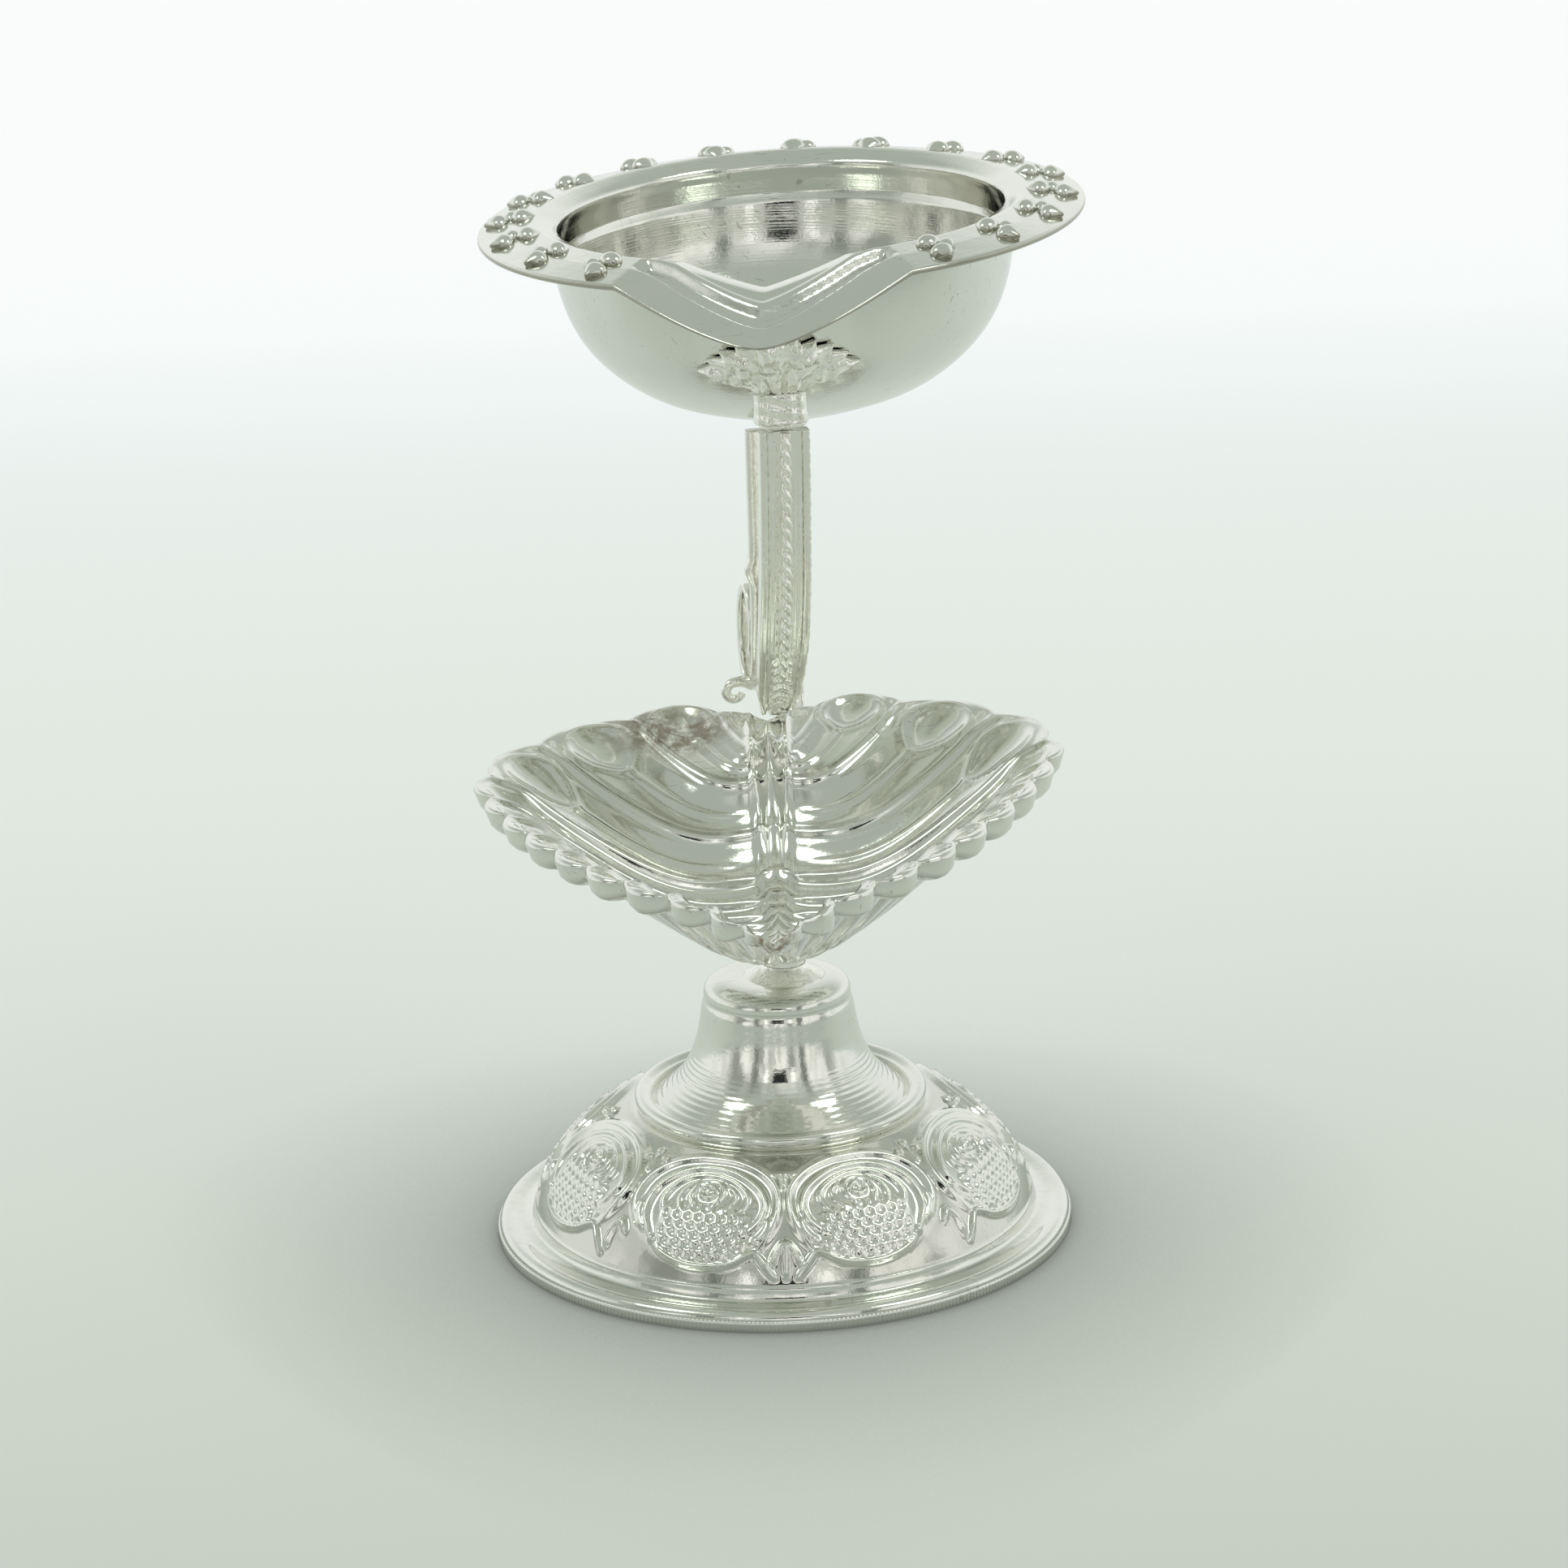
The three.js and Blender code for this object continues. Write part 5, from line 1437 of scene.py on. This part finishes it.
        def place(u, v):
            row = np.rint(v * (rows + 2)).astype(int)
            up = np.clip((row - 1) / rows, 0, 1)
            height = top - tall * (1 - up)
            turn = TURN * u
            x = np.sign(np.cos(turn)) * np.abs(np.cos(turn)) ** 0.5
            y = np.sign(np.sin(turn)) * np.abs(np.sin(turn)) ** 0.5
            wall = wall_radius(sizes, height) + gap
            flutes = 0.2 * MM * np.cos(x * TURN * 2.5) + 0.12 * MM * np.cos(up * TURN * 2.3 + 3 * x)
            face = front - 0.35 * MM * x**2 + flutes
            out = (wall + face) / 2 + (face - wall) / 2 * y
            ending = (row == 0) | (row == rows + 2)
            flared = 0.93 + 0.07 * (1 - up) ** 2
            across = np.where(ending, 0, x * flared * sizes.socket_width / 2) + sizes.spray_offset
            out = np.where(ending, (wall + face) / 2, out)
            return np.stack([across, -out, height], 1)

        socket = formed("bowl_fluted_socket", columns, rows + 2, place)
        self.finish_piece(socket, material, "cast_silver", "bowl_socket")


# Stage

SENSOR_WIDTH = 36
CLIP_START, CLIP_END = 0.01, 20
FLOOR_SIZE = 6
FLOOR_BACK = 1
# The floor's tones run from near to far over this stretch, in metres behind the lamp: painted light, dim at
# the front and bright at the back.
FLOOR_SWEEP = (-0.15, 0.45)
FLOOR_TONES = [(0.2, (0.6, 0.64, 0.585)), (0.365, (0.68, 0.72, 0.68)), (0.515, (0.723, 0.76, 0.723)),
               (0.7, (0.76, 0.8, 0.79)), (0.77, (0.8, 0.84, 0.845)), (0.86, (0.885, 0.895, 0.91))]
FLOOR_GLOW_SHARE = 0.45
# Reach of the painted shadow on the floor next to the foot.
CONTACT_REACH = 60 * MM
PATCH_WAVES = (3.6, 3.6, 1.1)
SEAM_ASIDE = 0.52
# The way to the right-hand lamp, and how nearly a ray must point at it to see the lamp.
LAMP_WAY = (0.55, -0.25, 0.8)
LAMP_EDGE = (0.978, 0.99)
# Each card's name, its distance to the right of the camera, its size, its colour and its strength.
LAMP_CARD = ((0.07, 0.16), (1, 1, 0.97), 1.3)
CARDS = [("camera_card", 0, (0.24, 0.15), (0.008, 0.01, 0.01), 1), ("lamp_card_left", -0.225, *LAMP_CARD),
         ("lamp_card_right", 0.225, *LAMP_CARD)]
BEHIND_CAMERA = (-0.02, 0.01)


class LAMP_OT_stage(Operator):
    """Sets the camera, the floor and the soft light"""

    bl_idname = "lamp.stage"
    bl_label = "Stage"

    def execute(self, context):
        """Builds the stage round the lamp."""
        stage = settings(context).stage
        self.set_camera(context, stage)
        self.lay_floor(stage)
        self.hang_light(context, stage)
        self.set_cards(stage)
        context.scene.view_settings.view_transform = "Standard"
        return {"FINISHED"}

    def set_camera(self, context, stage):
        """The camera at the photograph's angle."""
        bpy.ops.object.camera_add()
        camera = bpy.context.object
        spot = Matrix.Translation((FOOT_X + stage.aside, FOOT_Y - stage.distance, stage.height))
        look = Matrix.Rotation(pi / 2 - stage.pitch, 4, "X") @ Matrix.Rotation(-stage.roll, 4, "Z")
        camera.matrix_world = spot @ look
        camera.data.sensor_width = SENSOR_WIDTH
        camera.data.lens = stage.lens
        camera.data.clip_start = CLIP_START
        camera.data.clip_end = CLIP_END
        context.scene.camera = camera

    def lay_floor(self, stage):
        """A pale floor that glows, with painted light that brightens it towards the back and a painted
        shadow next to the foot.
        """
        deselect()
        bpy.ops.mesh.primitive_plane_add(size=FLOOR_SIZE, location=(0, FLOOR_BACK, 0))
        floor = bpy.context.object
        floor.name = "pale_floor"
        material, nodes = new_material("pale floor")
        spot = nodes.add("ShaderNodeSeparateXYZ", {0: nodes.coords})
        ramp = nodes.add("ShaderNodeValToRGB")
        back = nodes.ranged(nodes.total(spot.outputs[1], FLOOR_BACK), *FLOOR_SWEEP)
        nodes.tree.links.new(back, ramp.inputs[0])
        stops = [(0, stage.near), *FLOOR_TONES, (1, stage.far)]
        elements = ramp.color_ramp.elements
        while len(elements) < len(stops):
            elements.new(0.5)
        for element, (place, value) in zip(elements, stops):
            element.position = place
            element.color = opaque(value)
        # Painted shadow: ambient occlusion darkens the floor's colour next to the foot, for its glow as well
        # as for its lit part.
        open_sky = nodes.add("ShaderNodeAmbientOcclusion", {"Distance": CONTACT_REACH}, samples=8)
        shaded = nodes.ranged(open_sky.outputs["AO"], 0.5, 1, stage.contact, 1)
        tint = nodes.mix(shaded, (0, 0, 0, 1), ramp.outputs[0])
        seen = nodes.add("ShaderNodeLightPath").outputs["Is Camera Ray"]
        strength = nodes.ranged(seen, 0, 1, stage.floor_mirrored, stage.floor_glow)
        glow = nodes.add("ShaderNodeEmission", {"Color": tint, "Strength": strength}).outputs[0]
        matt = nodes.add("ShaderNodeBsdfDiffuse", {"Color": tint}).outputs[0]
        blend = nodes.add("ShaderNodeMixShader", {0: FLOOR_GLOW_SHARE, 1: matt, 2: glow}).outputs[0]
        output = nodes.tree.nodes["Material Output"]
        nodes.tree.links.new(blend, output.inputs[0])
        nodes.tree.nodes.remove(nodes.tree.nodes["Principled BSDF"])
        floor.data.materials.append(material)

    def hang_light(self, context, stage):
        """A pale tent, patchy on the camera's side and greyer overhead, with two small lamps in its top."""
        world = bpy.data.worlds.new("white tent")
        world.use_nodes = True
        context.scene.world = world
        nodes = Nodes(world.node_tree, "Generated")
        x, y, z = nodes.add("ShaderNodeSeparateXYZ", {0: nodes.coords}).outputs
        aside = nodes.math("ABSOLUTE", x)
        patches = nodes.ranged(nodes.noise(1, 3, 0.6, nodes.mapped(scale=PATCH_WAVES)), 0.42, 0.6)
        front = nodes.mix(patches, opaque(stage.tent_dark), opaque(stage.tent_front))
        from_seam = nodes.math("ABSOLUTE", nodes.math("SUBTRACT", aside, SEAM_ASIDE))
        front = nodes.mix(nodes.ranged(from_seam, 0.02, 0.09, 1, 0), front, opaque(stage.tent_seam))
        around = nodes.mix(nodes.ranged(y, -0.45, 0.25), front, opaque(stage.tent_back))
        tent = nodes.mix(nodes.ranged(z, 0.36, 0.68), around, opaque(stage.tent_top))
        parts = [nodes.product(value, way) for value, way in zip((aside, y, z), LAMP_WAY)]
        towards = nodes.total(parts[0], nodes.total(parts[1], parts[2]))
        lamps = nodes.ranged(towards, *LAMP_EDGE, stage.light, stage.light + stage.glow)
        background = world.node_tree.nodes["Background"]
        world.node_tree.links.new(tent, background.inputs["Color"])
        world.node_tree.links.new(lamps, background.inputs["Strength"])

    def set_cards(self, stage):
        """A dark card where the camera stands and a small lamp on each side of it."""
        camera = Vector((FOOT_X + stage.aside, FOOT_Y - stage.distance, stage.height))
        for name, aside, size, value, strength in CARDS:
            deselect()
            bpy.ops.mesh.primitive_plane_add(size=1)
            card = bpy.context.object
            card.name = name
            card.scale = (*size, 1)
            card.location = camera + Vector((aside, *BEHIND_CAMERA))
            card.rotation_euler = (pi / 2 - stage.pitch, 0, 0)
            card.visible_camera = False
            card.visible_diffuse = False
            card.visible_shadow = False
            material, nodes = new_material(name.replace("_", " "))
            glow = nodes.add("ShaderNodeEmission", {"Color": opaque(value), "Strength": strength})
            nodes.tree.links.new(glow.outputs[0], nodes.tree.nodes["Material Output"].inputs[0])
            card.data.materials.append(material)


# Panel and registration

OPERATORS = (LAMP_OT_stage, LAMP_OT_foot, LAMP_OT_bell, LAMP_OT_leaf, LAMP_OT_stem, LAMP_OT_bowl)
GROUPS = (LampFootSizes, LampBellSizes, LampLeafSizes, LampStemSizes, LampBowlSizes, LampFinish, LampStage,
          LampSettings)


class LAMP_PT_panel(Panel):
    """Lists the lamp's pieces and sizes"""

    bl_idname = "LAMP_PT_panel"
    bl_label = "Silver lamp"
    bl_space_type = "VIEW_3D"
    bl_region_type = "UI"
    bl_category = "Silver lamp"

    def draw(self, context):
        """Draws a button for each piece and its sizes below."""
        layout = self.layout
        for operator in OPERATORS:
            layout.operator(operator.bl_idname)
        lamp = settings(context)
        for group in ("foot", "bell", "leaf", "stem", "bowl", "finish", "stage"):
            box = layout.box()
            box.label(text=group.capitalize())
            part = getattr(lamp, group)
            for name in part.__annotations__:
                box.prop(part, name)


def register():
    """Registers the classes and puts the lamp's settings on the scene."""
    for cls in (*GROUPS, *OPERATORS, LAMP_PT_panel):
        bpy.utils.register_class(cls)
    bpy.types.Scene.silver_lamp = PointerProperty(type=LampSettings)


def unregister():
    """Takes the settings and the classes away again."""
    del bpy.types.Scene.silver_lamp
    for cls in (LAMP_PT_panel, *reversed(OPERATORS), *reversed(GROUPS)):
        bpy.utils.unregister_class(cls)


def main():
    """Builds the stage and every piece."""
    register()
    bpy.ops.lamp.stage()
    bpy.ops.lamp.foot()
    bpy.ops.lamp.bell()
    bpy.ops.lamp.leaf()
    bpy.ops.lamp.stem()
    bpy.ops.lamp.bowl()
    deselect()


if __name__ == "__main__":
    main()
